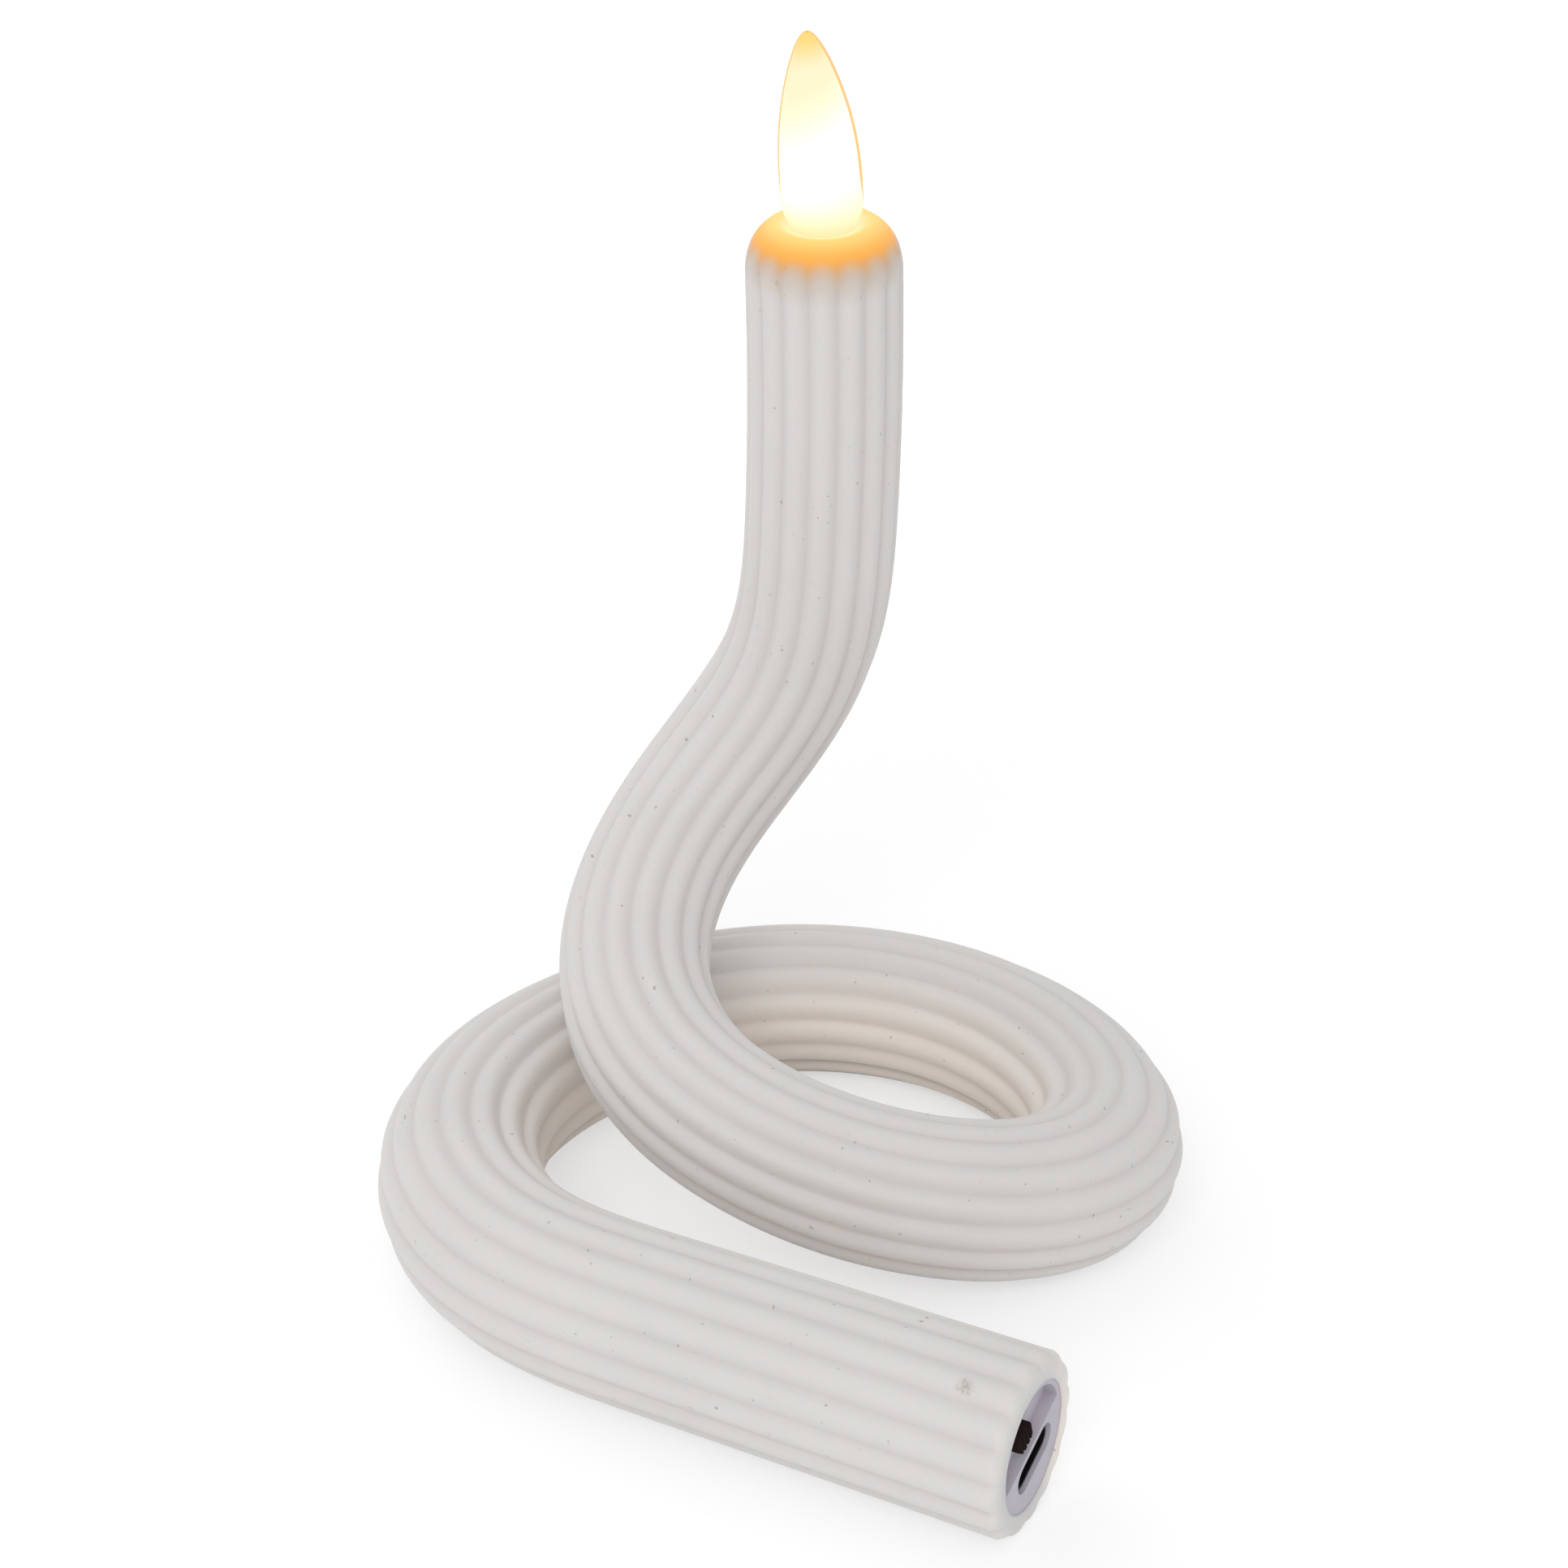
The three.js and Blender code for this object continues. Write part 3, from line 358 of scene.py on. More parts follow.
class Bench:
    """A node tree being wired."""

    MIX_INPUTS = (0, 6, 7)
    MIX_RESULT = 2

    def __init__(self, tree: bpy.types.NodeTree) -> None:
        """Takes the tree to wire.

        Args:
            tree: A material's, world's or group's tree.
        """
        self.tree = tree

    def node(self, kind: str, settings: dict | None = None, **inputs: Fed) -> bpy.types.Node:
        """Adds a node.

        Args:
            kind: Its type, without the leading ShaderNode.
            settings: Its properties.
            **inputs: Its inputs by name, with _ for a space, each a value or a socket to link.

        Returns:
            The node.
        """
        node = self.tree.nodes.new("ShaderNode" + kind)
        for key, value in (settings or {}).items():
            setattr(node, key, value)
        self.fill(node, **inputs)
        return node

    def fill(self, node: bpy.types.Node, **inputs: Fed) -> None:
        """Fills a node's inputs.

        Args:
            node: The node.
            **inputs: Its inputs by name, with _ for a space, each a value or a socket to link.
        """
        for key, value in inputs.items():
            self.feed(node.inputs[key.replace("_", " ")], value)

    def feed(self, socket: bpy.types.NodeSocket, value: Fed) -> None:
        """Links a socket, or sets its value.

        Args:
            socket: The input.
            value: A socket to link from, or a plain value.
        """
        if isinstance(value, bpy.types.NodeSocket):
            self.tree.links.new(value, socket)
        else:
            socket.default_value = value

    def read(self, mark_name: str, output: str = "Fac") -> bpy.types.NodeSocket:
        """Gives the socket of a value that the mesh's points carry."""
        return self.node("Attribute", {"attribute_name": mark_name}).outputs[output]

    def seen(self, *rays: str) -> bpy.types.NodeSocket:
        """Tells apart the rays that show something from those that light it.

        Args:
            *rays: The Light Path outputs to join, by name.

        Returns:
            A socket that is 1 for these rays and 0 for others.
        """
        path = self.node("LightPath")
        joined = path.outputs[rays[0]]
        for name in rays[1:]:
            joined = self.math("MAXIMUM", joined, path.outputs[name])
        return joined

    def math(self, operation: str, first: Fed, second: Fed) -> bpy.types.NodeSocket:
        """Adds one sum.

        Args:
            operation: Blender's name for it.
            first: A number or socket.
            second: A number or socket.

        Returns:
            The result's socket.
        """
        node = self.node("Math", {"operation": operation})
        self.feed(node.inputs[0], first)
        self.feed(node.inputs[1], second)
        return node.outputs[0]

    def vector(self, operation: str, first: Fed, second: Fed) -> bpy.types.Node:
        """Adds one sum of two vectors.

        Args:
            operation: Blender's name for it.
            first: A vector or socket.
            second: A vector or socket.

        Returns:
            Its node, since the output depends on the operation.
        """
        node = self.node("VectorMath", {"operation": operation})
        self.feed(node.inputs[0], first)
        self.feed(node.inputs[1], second)
        return node

    def remap(self, value: Fed, low: float, high: float, to_low: float = 0.0,
              to_high: float = 1.0) -> bpy.types.NodeSocket:
        """Maps a value from one range to another with soft ends.

        Args:
            value: The socket to map.
            low: Where the range starts.
            high: Where it ends.
            to_low: What low becomes.
            to_high: What high becomes.

        Returns:
            The result's socket.
        """
        node = self.node("MapRange", {"interpolation_type": "SMOOTHSTEP"})
        for index, given in enumerate((value, low, high, to_low, to_high)):
            self.feed(node.inputs[index], given)
        return node.outputs[0]

    def mix(self, factor: Fed, first: Fed, second: Fed) -> bpy.types.NodeSocket:
        """Mixes two colours.

        Args:
            factor: How much of the second.
            first: A colour or socket.
            second: A colour or socket.

        Returns:
            The result's socket.
        """
        node = self.node("Mix", {"data_type": "RGBA"})
        for index, given in zip(self.MIX_INPUTS, (factor, first, second)):
            self.feed(node.inputs[index], given)
        return node.outputs[self.MIX_RESULT]

    def group(self, effect: "Effect", **inputs: Fed) -> bpy.types.Node:
        """Places an effect's node group, with its inputs given by name."""
        return self.node("Group", {"node_tree": effect.tree()}, **inputs)


class Effect(ABC):
    """An effect that several materials use: a node group with named inputs and outputs."""

    name: str
    inputs: dict[str, tuple[str, float | None]]
    outputs: dict[str, str]

    def tree(self) -> bpy.types.NodeTree:
        """Gives the effect's group, which is built on its first use.

        Returns:
            The group's tree.
        """
        found = bpy.data.node_groups.get(self.name)
        if found:
            return found
        made = bpy.data.node_groups.new(self.name, "ShaderNodeTree")
        for label, (kind, value) in self.inputs.items():
            socket = made.interface.new_socket(name=label, in_out="INPUT", socket_type="NodeSocket" + kind)
            if value is not None:
                socket.default_value = value
        for label, kind in self.outputs.items():
            made.interface.new_socket(name=label, in_out="OUTPUT", socket_type="NodeSocket" + kind)
        bench = Bench(made)
        given = made.nodes.new("NodeGroupInput")
        result = made.nodes.new("NodeGroupOutput")
        for label, socket in self.wire(bench, given.outputs).items():
            bench.feed(result.inputs[label], socket)
        return made

    @abstractmethod
    def wire(self, bench: Bench, given: bpy.types.NodeOutputs) -> dict[str, bpy.types.NodeSocket]:
        """Wires the group.

        Args:
            bench: The group's tree.
            given: The group's input sockets.

        Returns:
            The socket for each output.
        """


class FineGrain(Effect):
    """The fine skin of a moulded or drawn surface."""

    name = "fine_grain"
    inputs = {"Place": ("Vector", None), "Scale": ("Float", 2500.0), "Roughness": ("Float", 0.5)}
    outputs = {"Height": "Float", "Roughness": "Float"}
    broad_share = 0.06
    broad_range = (0.3, 0.7)
    roughness_swing = 0.06

    def wire(self, bench: Bench, given: bpy.types.NodeOutputs) -> dict[str, bpy.types.NodeSocket]:
        """Wires a fine noise for height and a broad one for roughness.

        Args:
            bench: The group's tree.
            given: The group's input sockets.

        Returns:
            Height and Roughness.
        """
        fine = bench.node("TexNoise", Vector=given["Place"], Scale=given["Scale"], Detail=3.0)
        broad_scale = bench.math("MULTIPLY", given["Scale"], self.broad_share)
        broad = bench.node("TexNoise", Vector=given["Place"], Scale=broad_scale, Detail=2.0)
        swing = self.roughness_swing
        drift = bench.remap(broad.outputs[0], *self.broad_range, -swing, swing)
        return {"Height": fine.outputs[0], "Roughness": bench.math("ADD", given["Roughness"], drift)}


class ToneDrift(Effect):
    """The slow drift of a colour over a surface."""

    name = "tone_drift"
    inputs = {
        "Color": ("Color", None),
        "Place": ("Vector", None),
        "Scale": ("Float", 60.0),
        "Amount": ("Float", 0.05),
    }
    outputs = {"Color": "Color"}

    def wire(self, bench: Bench, given: bpy.types.NodeOutputs) -> dict[str, bpy.types.NodeSocket]:
        """Wires a noise into the colour's value.

        Args:
            bench: The group's tree.
            given: The group's input sockets.

        Returns:
            Color.
        """
        noise = bench.node("TexNoise", Vector=given["Place"], Scale=given["Scale"], Detail=4.0)
        centred = bench.math("SUBTRACT", bench.math("MULTIPLY", noise.outputs[0], 2.0), 1.0)
        swing = bench.math("MULTIPLY", centred, given["Amount"])
        value = bench.math("ADD", 1.0, swing)
        toned = bench.node("HueSaturation", Value=value, Color=given["Color"])
        return {"Color": toned.outputs[0]}


class SettledDust(Effect):
    """Specks of dust and short lint that cling to a soft or static surface."""

    name = "settled_dust"
    inputs = {"Place": ("Vector", None), "Scale": ("Float", 420.0), "Amount": ("Float", 0.3)}
    outputs = {"Mask": "Float", "Height": "Float"}
    wobble_scale = 900.0
    wobble_push = 0.0012
    speck_reach = 0.16
    speck_stretch = (1.0, 1.0, 1.0)
    lint_reach = 0.075
    lint_stretch = (1.0, 0.16, 0.7)
    pattern_turn = (0.6, 0.35, 0.9)
    least_size = 0.01
    soft_rim = 0.4
    faintest = 0.25

    def wire(self, bench: Bench, given: bpy.types.NodeOutputs) -> dict[str, bpy.types.NodeSocket]:
        """Wires specks at some cells of a cell pattern, and lint at some cells of a drawn-out one.

        Args:
            bench: The group's tree.
            given: The group's input sockets.

        Returns:
            Mask and Height.
        """
        wobble = bench.node("TexNoise", Vector=given["Place"], Scale=self.wobble_scale, Detail=2.0)
        push = bench.node(
            "VectorMath", {"operation": "SCALE"}, Vector=wobble.outputs[1], Scale=self.wobble_push)
        bent = bench.vector("ADD", given["Place"], push.outputs[0]).outputs[0]
        specks = self.cells(bench, bent, given, self.speck_stretch, self.speck_reach)
        lint = self.cells(bench, bent, given, self.lint_stretch, self.lint_reach)
        joined = bench.math("MAXIMUM", specks, lint)
        return {"Mask": joined, "Height": joined}

    def cells(self, bench: Bench, place: bpy.types.NodeSocket, given: bpy.types.NodeOutputs,
              stretch: tuple[float, float, float], reach: float) -> bpy.types.NodeSocket:
        """Wires marks at the middles of some cells.

        Args:
            bench: The group's tree.
            place: The socket of the place.
            given: The group's input sockets.
            stretch: How the pattern is drawn out along each axis.
            reach: The marks' size as a share of a cell.

        Returns:
            The socket of their mask.
        """
        turned = bench.node("Mapping", Vector=place, Rotation=self.pattern_turn, Scale=stretch)
        cells = bench.node("TexVoronoi", Vector=turned.outputs[0], Scale=given["Scale"])
        split = bench.node("SeparateColor", Color=cells.outputs["Color"])
        size = bench.math("MULTIPLY", split.outputs[0], reach)
        size = bench.math("ADD", size, self.least_size)
        inside = bench.math("DIVIDE", cells.outputs["Distance"], size)
        shape = bench.remap(inside, self.soft_rim, 1.0, 1.0, 0.0)
        kept = bench.math("LESS_THAN", split.outputs[1], given["Amount"])
        strength = bench.remap(split.outputs[2], 0.0, 1.0, self.faintest, 1.0)
        return bench.math("MULTIPLY", bench.math("MULTIPLY", shape, kept), strength)


class EdgeWearAndLight(Effect):
    """The rubbed edges of a hard piece; on the port's dark steel its light edge colour is painted light on
    the rim.
    """

    name = "edge_wear_and_light"
    inputs = {"Place": ("Vector", None), "Amount": ("Float", 0.5)}
    outputs = {"Mask": "Float"}
    edge_range = (0.52, 0.62)
    break_scale = 1400.0
    break_range = (0.35, 0.65)

    def wire(self, bench: Bench, given: bpy.types.NodeOutputs) -> dict[str, bpy.types.NodeSocket]:
        """Wires the outward edges, broken up by a noise.

        Args:
            bench: The group's tree.
            given: The group's input sockets.

        Returns:
            Mask.
        """
        shape = bench.node("NewGeometry")
        edge = bench.remap(shape.outputs["Pointiness"], *self.edge_range)
        noise = bench.node("TexNoise", Vector=given["Place"], Scale=self.break_scale, Detail=4.0)
        broken = bench.math("MULTIPLY", edge, bench.remap(noise.outputs[0], *self.break_range))
        return {"Mask": bench.math("MULTIPLY", broken, given["Amount"])}


FINE_GRAIN = FineGrain()
TONE_DRIFT = ToneDrift()
SETTLED_DUST = SettledDust()
EDGE_WEAR_AND_LIGHT = EdgeWearAndLight()


# Finishes


@dataclass(frozen=True)
class Finish(ABC):
    """A finish, which makes its material on its first use. Its grain's depth is in metres."""

    name: str
    roughness: float = 0.5
    grain: float = 1200.0
    grain_depth: float = 0.00001

    def material(self) -> bpy.types.Material:
        """Gives the finish's material, whose name differs from that of any CAD material.

        Returns:
            The material, which is built on its first use.
        """
        label = f"{self.name}_finish"
        found = bpy.data.materials.get(label)
        if found:
            return found
        made = bpy.data.materials.new(label)
        made.use_nodes = True
        made.node_tree.nodes.clear()
        bench = Bench(made.node_tree)
        shader = bench.node("BsdfPrincipled")
        output = bench.node("OutputMaterial")
        bench.feed(output.inputs[0], shader.outputs[0])
        self.wire(bench, shader)
        return made

    @abstractmethod
    def wire(self, bench: Bench, shader: bpy.types.Node) -> None:
        """Wires the material.

        Args:
            bench: The material's tree.
            shader: Its Principled shader.
        """

    def surface(self, bench: Bench, shader: bpy.types.Node, colour: Fed,
                place: bpy.types.NodeSocket) -> None:
        """Wires what all finishes but the silicone share: a drifting colour, fine grain and a bump of it.

        Args:
            bench: The material's tree.
            shader: Its Principled shader.
            colour: The colour or its socket.
            place: The socket of the place.
        """
        toned = bench.group(TONE_DRIFT, Color=colour, Place=place)
        skin = bench.group(FINE_GRAIN, Place=place, Scale=self.grain, Roughness=self.roughness)
        height = skin.outputs["Height"]
        bump = bench.node("Bump", Strength=1.0, Distance=self.grain_depth, Height=height)
        bench.fill(
            shader,
            Base_Color=toned.outputs[0],
            Roughness=skin.outputs["Roughness"],
            Normal=bump.outputs[0],
        )


@dataclass(frozen=True)
class SiliconeSkin(Finish):
    """Soft white silicone with a matt skin, painted shade in its valleys, painted light low on the loop's
    inner side, a painted warm glow on the dome, and lit from inside at the dome.
    """

    crest: Colour = linear(218, 215, 213)
    # Painted shade: the valleys take a darker, warmer colour for the shade between the ribs, most on the
    # table's side.
    valley_shade: Colour = linear(210, 202, 197)
    valley_shade_power: float = 2.4
    # Painted light: a lighter, warmer colour low on the loop's inner side, where shade falls.
    inner: Colour = linear(247, 237, 228)
    # Painted glow: a warm, darker tint of the lamp's light on the dome, strongest in the valleys.
    dome_glow_fringe: Colour = linear(192, 160, 124)
    drift_scale: float = 45.0
    drift_amount: float = 0.04
    dust: Colour = linear(128, 116, 108)
    dust_scale: float = 560.0
    dust_amount: float = 0.72
    dust_strength: float = 0.6
    smudge: Colour = linear(150, 134, 120)
    smudge_place: tuple[float, float, float] = (0.0215, -0.05444, 0.02103)
    smudge_reach: float = 0.0016
    smudge_from: float = 0.75
    smudge_to: float = 1.7
    smudge_raggedness: float = 1.6
    smudge_clouds: float = 2400.0
    smudge_strength: float = 0.5
    lit: Colour = linear(150, 90, 30)
    glow_flame: Colour = (0.74, 0.78, 0.48, 1.0)
    glow_near: Colour = (0.74, 0.60, 0.19, 1.0)
    glow_edge: Colour = (0.70, 0.33, 0.045, 1.0)
    glow_off: Colour = (0.0, 0.0, 0.0, 1.0)
    near_range: tuple[float, float] = (0.0, 0.5)
    edge_range: tuple[float, float] = (0.4, 1.0)
    roughness: float = 0.55
    grain: float = 2200.0
    grain_depth: float = 0.00004
    grain_strength: float = 0.6
    softness: float = 0.35
    soft_reach: float = 0.004
    soft_radius: tuple[float, float, float] = (1.0, 0.7, 0.5)
    sheen: float = 0.08
    gloss: float = 0.3

    def wire(self, bench: Bench, shader: bpy.types.Node) -> None:
        """Wires the skin.

        Args:
            bench: The material's tree.
            shader: Its Principled shader.
        """
        place = bench.read(PLACE_MARK, "Vector")
        dust = bench.group(SETTLED_DUST, Place=place, Scale=self.dust_scale, Amount=self.dust_amount)
        skin = bench.group(FINE_GRAIN, Place=place, Scale=self.grain, Roughness=self.roughness)
        height = bench.math("ADD", skin.outputs["Height"], dust.outputs["Height"])
        bump = bench.node("Bump", Strength=self.grain_strength, Distance=self.grain_depth, Height=height)
        glow = bench.read(GLOW_MARK)
        dusty = self.dusty_colour(bench, place, dust.outputs["Mask"])
        bench.fill(
            shader,
            Base_Color=bench.mix(glow, dusty, self.lit),
            Roughness=skin.outputs["Roughness"],
            Normal=bump.outputs[0],
            Emission_Color=bench.mix(glow, self.glow_off, self.dome_light(bench)),
            Emission_Strength=1.0,
            Subsurface_Weight=self.softness,
            Subsurface_Radius=self.soft_radius,
            Subsurface_Scale=self.soft_reach,
            Sheen_Weight=self.sheen,
            Specular_IOR_Level=self.gloss,
        )

    def dusty_colour(self, bench: Bench, place: bpy.types.NodeSocket,
                     dust: bpy.types.NodeSocket) -> bpy.types.NodeSocket:
        """Wires the tone of crests, the painted shade of the valleys, the painted light of the inner side
        and the painted warm glow of the dome, with dust and a smudge on it.

        Args:
            bench: The material's tree.
            place: The socket of the place at rest.
            dust: The socket of the dust's mask.

        Returns:
            The socket of the colour.
        """
        # Painted light low on the loop's inner side.
        body = bench.mix(bench.read(INNER_LIGHT_MARK), self.crest, self.inner)
        # Painted shade between the ribs, deepest in the valleys and on the table's side.
        deep = bench.math("POWER", bench.read(VALLEY_SHADE_MARK), self.valley_shade_power)
        ribbed = bench.mix(deep, body, self.valley_shade)
        toned = bench.group(
            TONE_DRIFT, Color=ribbed, Place=place, Scale=self.drift_scale, Amount=self.drift_amount)
        # Painted warm glow on the dome.
        fringe_painted = bench.mix(bench.read(GLOW_FRINGE_MARK), toned.outputs[0], self.dome_glow_fringe)
        dusty = bench.mix(bench.math("MULTIPLY", dust, self.dust_strength), fringe_painted, self.dust)
        return bench.mix(self.smudge_mask(bench, place), dusty, self.smudge)

    def dome_light(self, bench: Bench) -> bpy.types.NodeSocket:
        """Wires the light of the dome, pale at the flame and orange at its edge.

        Args:
            bench: The material's tree.

        Returns:
            The socket of its colour.
        """
        warmth = bench.read(WARMTH_MARK)
        near = bench.mix(bench.remap(warmth, *self.near_range), self.glow_flame, self.glow_near)
        return bench.mix(bench.remap(warmth, *self.edge_range), near, self.glow_edge)

    def smudge_mask(self, bench: Bench, place: bpy.types.NodeSocket) -> bpy.types.NodeSocket:
        """Wires the one ragged smudge that the foot has near its end.

        Args:
            bench: The material's tree.
            place: The socket of the place at rest.

        Returns:
            The socket of its mask.
        """
        reach = self.smudge_reach
        away = bench.vector("DISTANCE", place, self.smudge_place)
        clouds = bench.node("TexNoise", Vector=place, Scale=self.smudge_clouds, Detail=4.0)
        ragged = bench.math("MULTIPLY", clouds.outputs[0], self.smudge_raggedness * reach)
        reached = bench.math("ADD", away.outputs["Value"], ragged)
        return bench.remap(
            reached, self.smudge_from * reach, self.smudge_to * reach, self.smudge_strength, 0.0)


@dataclass(frozen=True, kw_only=True)
class MouldedPlastic(Finish):
    """A hard moulded plastic with rubbed edges and a little dust."""

    colour: Colour
    worn_and_lit_edge: Colour
    roughness: float = 0.42
    gloss: float = 0.5
    wear_and_edge_light: float = 0.4
    dust: Colour = linear(160, 154, 150)
    dust_scale: float = 500.0
    dust_amount: float = 0.12
    dust_strength: float = 0.35
    grain: float = 3200.0
    grain_depth: float = 0.00002

    def wire(self, bench: Bench, shader: bpy.types.Node) -> None:
        """Wires the plastic.

        Args:
            bench: The material's tree.
            shader: Its Principled shader.
        """
        place = bench.node("TexCoord").outputs["Object"]
        wear_and_edge_light = bench.group(EDGE_WEAR_AND_LIGHT, Place=place, Amount=self.wear_and_edge_light)
        rubbed = bench.mix(wear_and_edge_light.outputs[0], self.colour, self.worn_and_lit_edge)
        dust = bench.group(SETTLED_DUST, Place=place, Scale=self.dust_scale, Amount=self.dust_amount)
        faint = bench.math("MULTIPLY", dust.outputs["Mask"], self.dust_strength)
        dusty = bench.mix(faint, rubbed, self.dust)
        self.surface(bench, shader, dusty, place)
        bench.fill(shader, Specular_IOR_Level=self.gloss)


@dataclass(frozen=True)
class BrushedMetal(Finish):
    """Drawn or stamped sheet metal with fine lines along it."""

    colour: Colour = linear(190, 192, 197)
    worn_and_lit_edge: Colour = linear(225, 226, 228)
    roughness: float = 0.3
    wear_and_edge_light: float = 0.6
    line_stretch: tuple[float, float, float] = (1.0, 9.0, 9.0)
    grain: float = 700.0

    def wire(self, bench: Bench, shader: bpy.types.Node) -> None:
        """Wires the metal.

        Args:
            bench: The material's tree.
            shader: Its Principled shader.
        """
        place = bench.node("TexCoord").outputs["Object"]
        drawn = bench.node("Mapping", Vector=place, Scale=self.line_stretch).outputs[0]
        # On the port's dark steel this edge colour is painted light on the rim.
        wear_and_edge_light = bench.group(EDGE_WEAR_AND_LIGHT, Place=place, Amount=self.wear_and_edge_light)
        rubbed = bench.mix(wear_and_edge_light.outputs[0], self.colour, self.worn_and_lit_edge)
        self.surface(bench, shader, rubbed, drawn)
        bench.fill(shader, Metallic=1.0)


@dataclass(frozen=True)
class BoardLaminate(Finish):
    """A green circuit board with tracks under its lacquer and bare pads."""

    lacquer: Colour = linear(26, 92, 58)
    track: Colour = linear(48, 128, 82)
    track_scale: float = 420.0
    track_width: float = 0.12
    track_softness: float = 0.4
    pad: Colour = linear(200, 178, 120)
    pad_scale: float = 380.0
    pad_range: tuple[float, float] = (0.10, 0.14)
    coat: float = 0.3
    roughness: float = 0.35
    grain: float = 1800.0
    grain_depth: float = 0.00002

    def wire(self, bench: Bench, shader: bpy.types.Node) -> None:
        """Wires the laminate.

        Args:
            bench: The material's tree.
            shader: Its Principled shader.
        """
        place = bench.node("TexCoord").outputs["Object"]
        grid = bench.node(
            "TexBrick",
            Vector=place,
            Scale=self.track_scale,
            Mortar_Size=self.track_width,
            Mortar_Smooth=self.track_softness,
        )
        cells = bench.node("TexVoronoi", {"distance": "CHEBYCHEV"}, Vector=place, Scale=self.pad_scale)
        pads = bench.remap(cells.outputs["Distance"], *self.pad_range, 1.0, 0.0)
        tracked = bench.mix(grid.outputs["Fac"], self.lacquer, self.track)
        padded = bench.mix(pads, tracked, self.pad)
        self.surface(bench, shader, padded, place)
        bench.fill(shader, Coat_Weight=self.coat)


@dataclass(frozen=True)
class ShrinkWrap(Finish):
    """The thin glossy film shrunk round a cell or a joint, with painted shade in its slight puckers."""

    colour: Colour = linear(58, 122, 186)
    # Painted shade: the darker colour in the puckers.
    pucker_shade: Colour = linear(44, 98, 158)
    pucker_scale: float = 120.0
    coat: float = 0.4
    roughness: float = 0.28
    grain: float = 900.0
    grain_depth: float = 0.00003

    def wire(self, bench: Bench, shader: bpy.types.Node) -> None:
        """Wires the film.

        Args:
            bench: The material's tree.
            shader: Its Principled shader.
        """
        place = bench.node("TexCoord").outputs["Object"]
        # Painted shade in the puckers, along a wave pattern.
        folds = bench.node("TexWave", Vector=place, Scale=self.pucker_scale, Distortion=6.0, Detail=3.0)
        pucker_shaded = bench.mix(folds.outputs["Fac"], self.colour, self.pucker_shade)
        self.surface(bench, shader, pucker_shaded, place)
        bench.fill(shader, Coat_Weight=self.coat)


@dataclass(frozen=True)
class WireJacket(Finish):
    """The extruded jacket of a lead or the skin of a drawn wire."""

    colour: Colour = linear(172, 34, 28)
    scuffed: Colour = linear(196, 70, 60)
    scuff_scale: float = 650.0
    scuff_range: tuple[float, float] = (0.58, 0.72)
    scuff_strength: float = 0.6
    roughness: float = 0.45
    metallic: float = 0.0
    grain: float = 2600.0
    grain_depth: float = 0.00002

    def wire(self, bench: Bench, shader: bpy.types.Node) -> None:
        """Wires the jacket.

        Args:
            bench: The material's tree.
            shader: Its Principled shader.
        """
        place = bench.read(PLACE_MARK, "Vector")
        noise = bench.node("TexNoise", Vector=place, Scale=self.scuff_scale, Detail=5.0)
        scuffs = bench.remap(noise.outputs[0], *self.scuff_range, 0.0, self.scuff_strength)
        scuffed = bench.mix(scuffs, self.colour, self.scuffed)
        self.surface(bench, shader, scuffed, place)
        bench.fill(shader, Metallic=self.metallic)


@dataclass(frozen=True)
class LampResin(Finish):
    """The cast resin of the lamp, which glows."""

    colour: Colour = linear(255, 236, 196)
    light: Colour = linear(255, 214, 140)
    strength: float = 2.0
    cloud_scale: float = 500.0
    cloud_range: tuple[float, float] = (0.3, 0.7)
    roughness: float = 0.2
    grain: float = 1500.0

    def wire(self, bench: Bench, shader: bpy.types.Node) -> None:
        """Wires the resin.

        Args:
            bench: The material's tree.
            shader: Its Principled shader.
        """
        place = bench.node("TexCoord").outputs["Object"]
        self.surface(bench, shader, self.colour, place)
        clouds = bench.node("TexNoise", Vector=place, Scale=self.cloud_scale, Detail=2.0)
        lit = bench.mix(bench.remap(clouds.outputs[0], *self.cloud_range), self.light, self.colour)
        bench.fill(shader, Emission_Color=lit, Emission_Strength=self.strength)


@dataclass(frozen=True)
class FlameSkin(Finish):
    """The clear amber outside of the flame."""

    colour: Colour = linear(128, 74, 22)
    light: Colour = (1.0, 0.47, 0.07, 1.0)
    strength: float = 0.9
    cover: float = 0.6
    drift_scale: float = 90.0
    drift_amount: float = 0.04
    roughness: float = 0.25

    def wire(self, bench: Bench, shader: bpy.types.Node) -> None:
        """Wires the skin.

        Args:
            bench: The material's tree.
            shader: Its Principled shader.
        """
        place = bench.read(PLACE_MARK, "Vector")
        self.surface(bench, shader, self.colour, place)
        toned = bench.group(
            TONE_DRIFT, Color=self.light, Place=place, Scale=self.drift_scale, Amount=self.drift_amount)
        bench.fill(
            shader,
            Emission_Color=toned.outputs[0],
            Emission_Strength=self.strength,
            Specular_IOR_Level=0.0,
            Alpha=self.cover,
        )


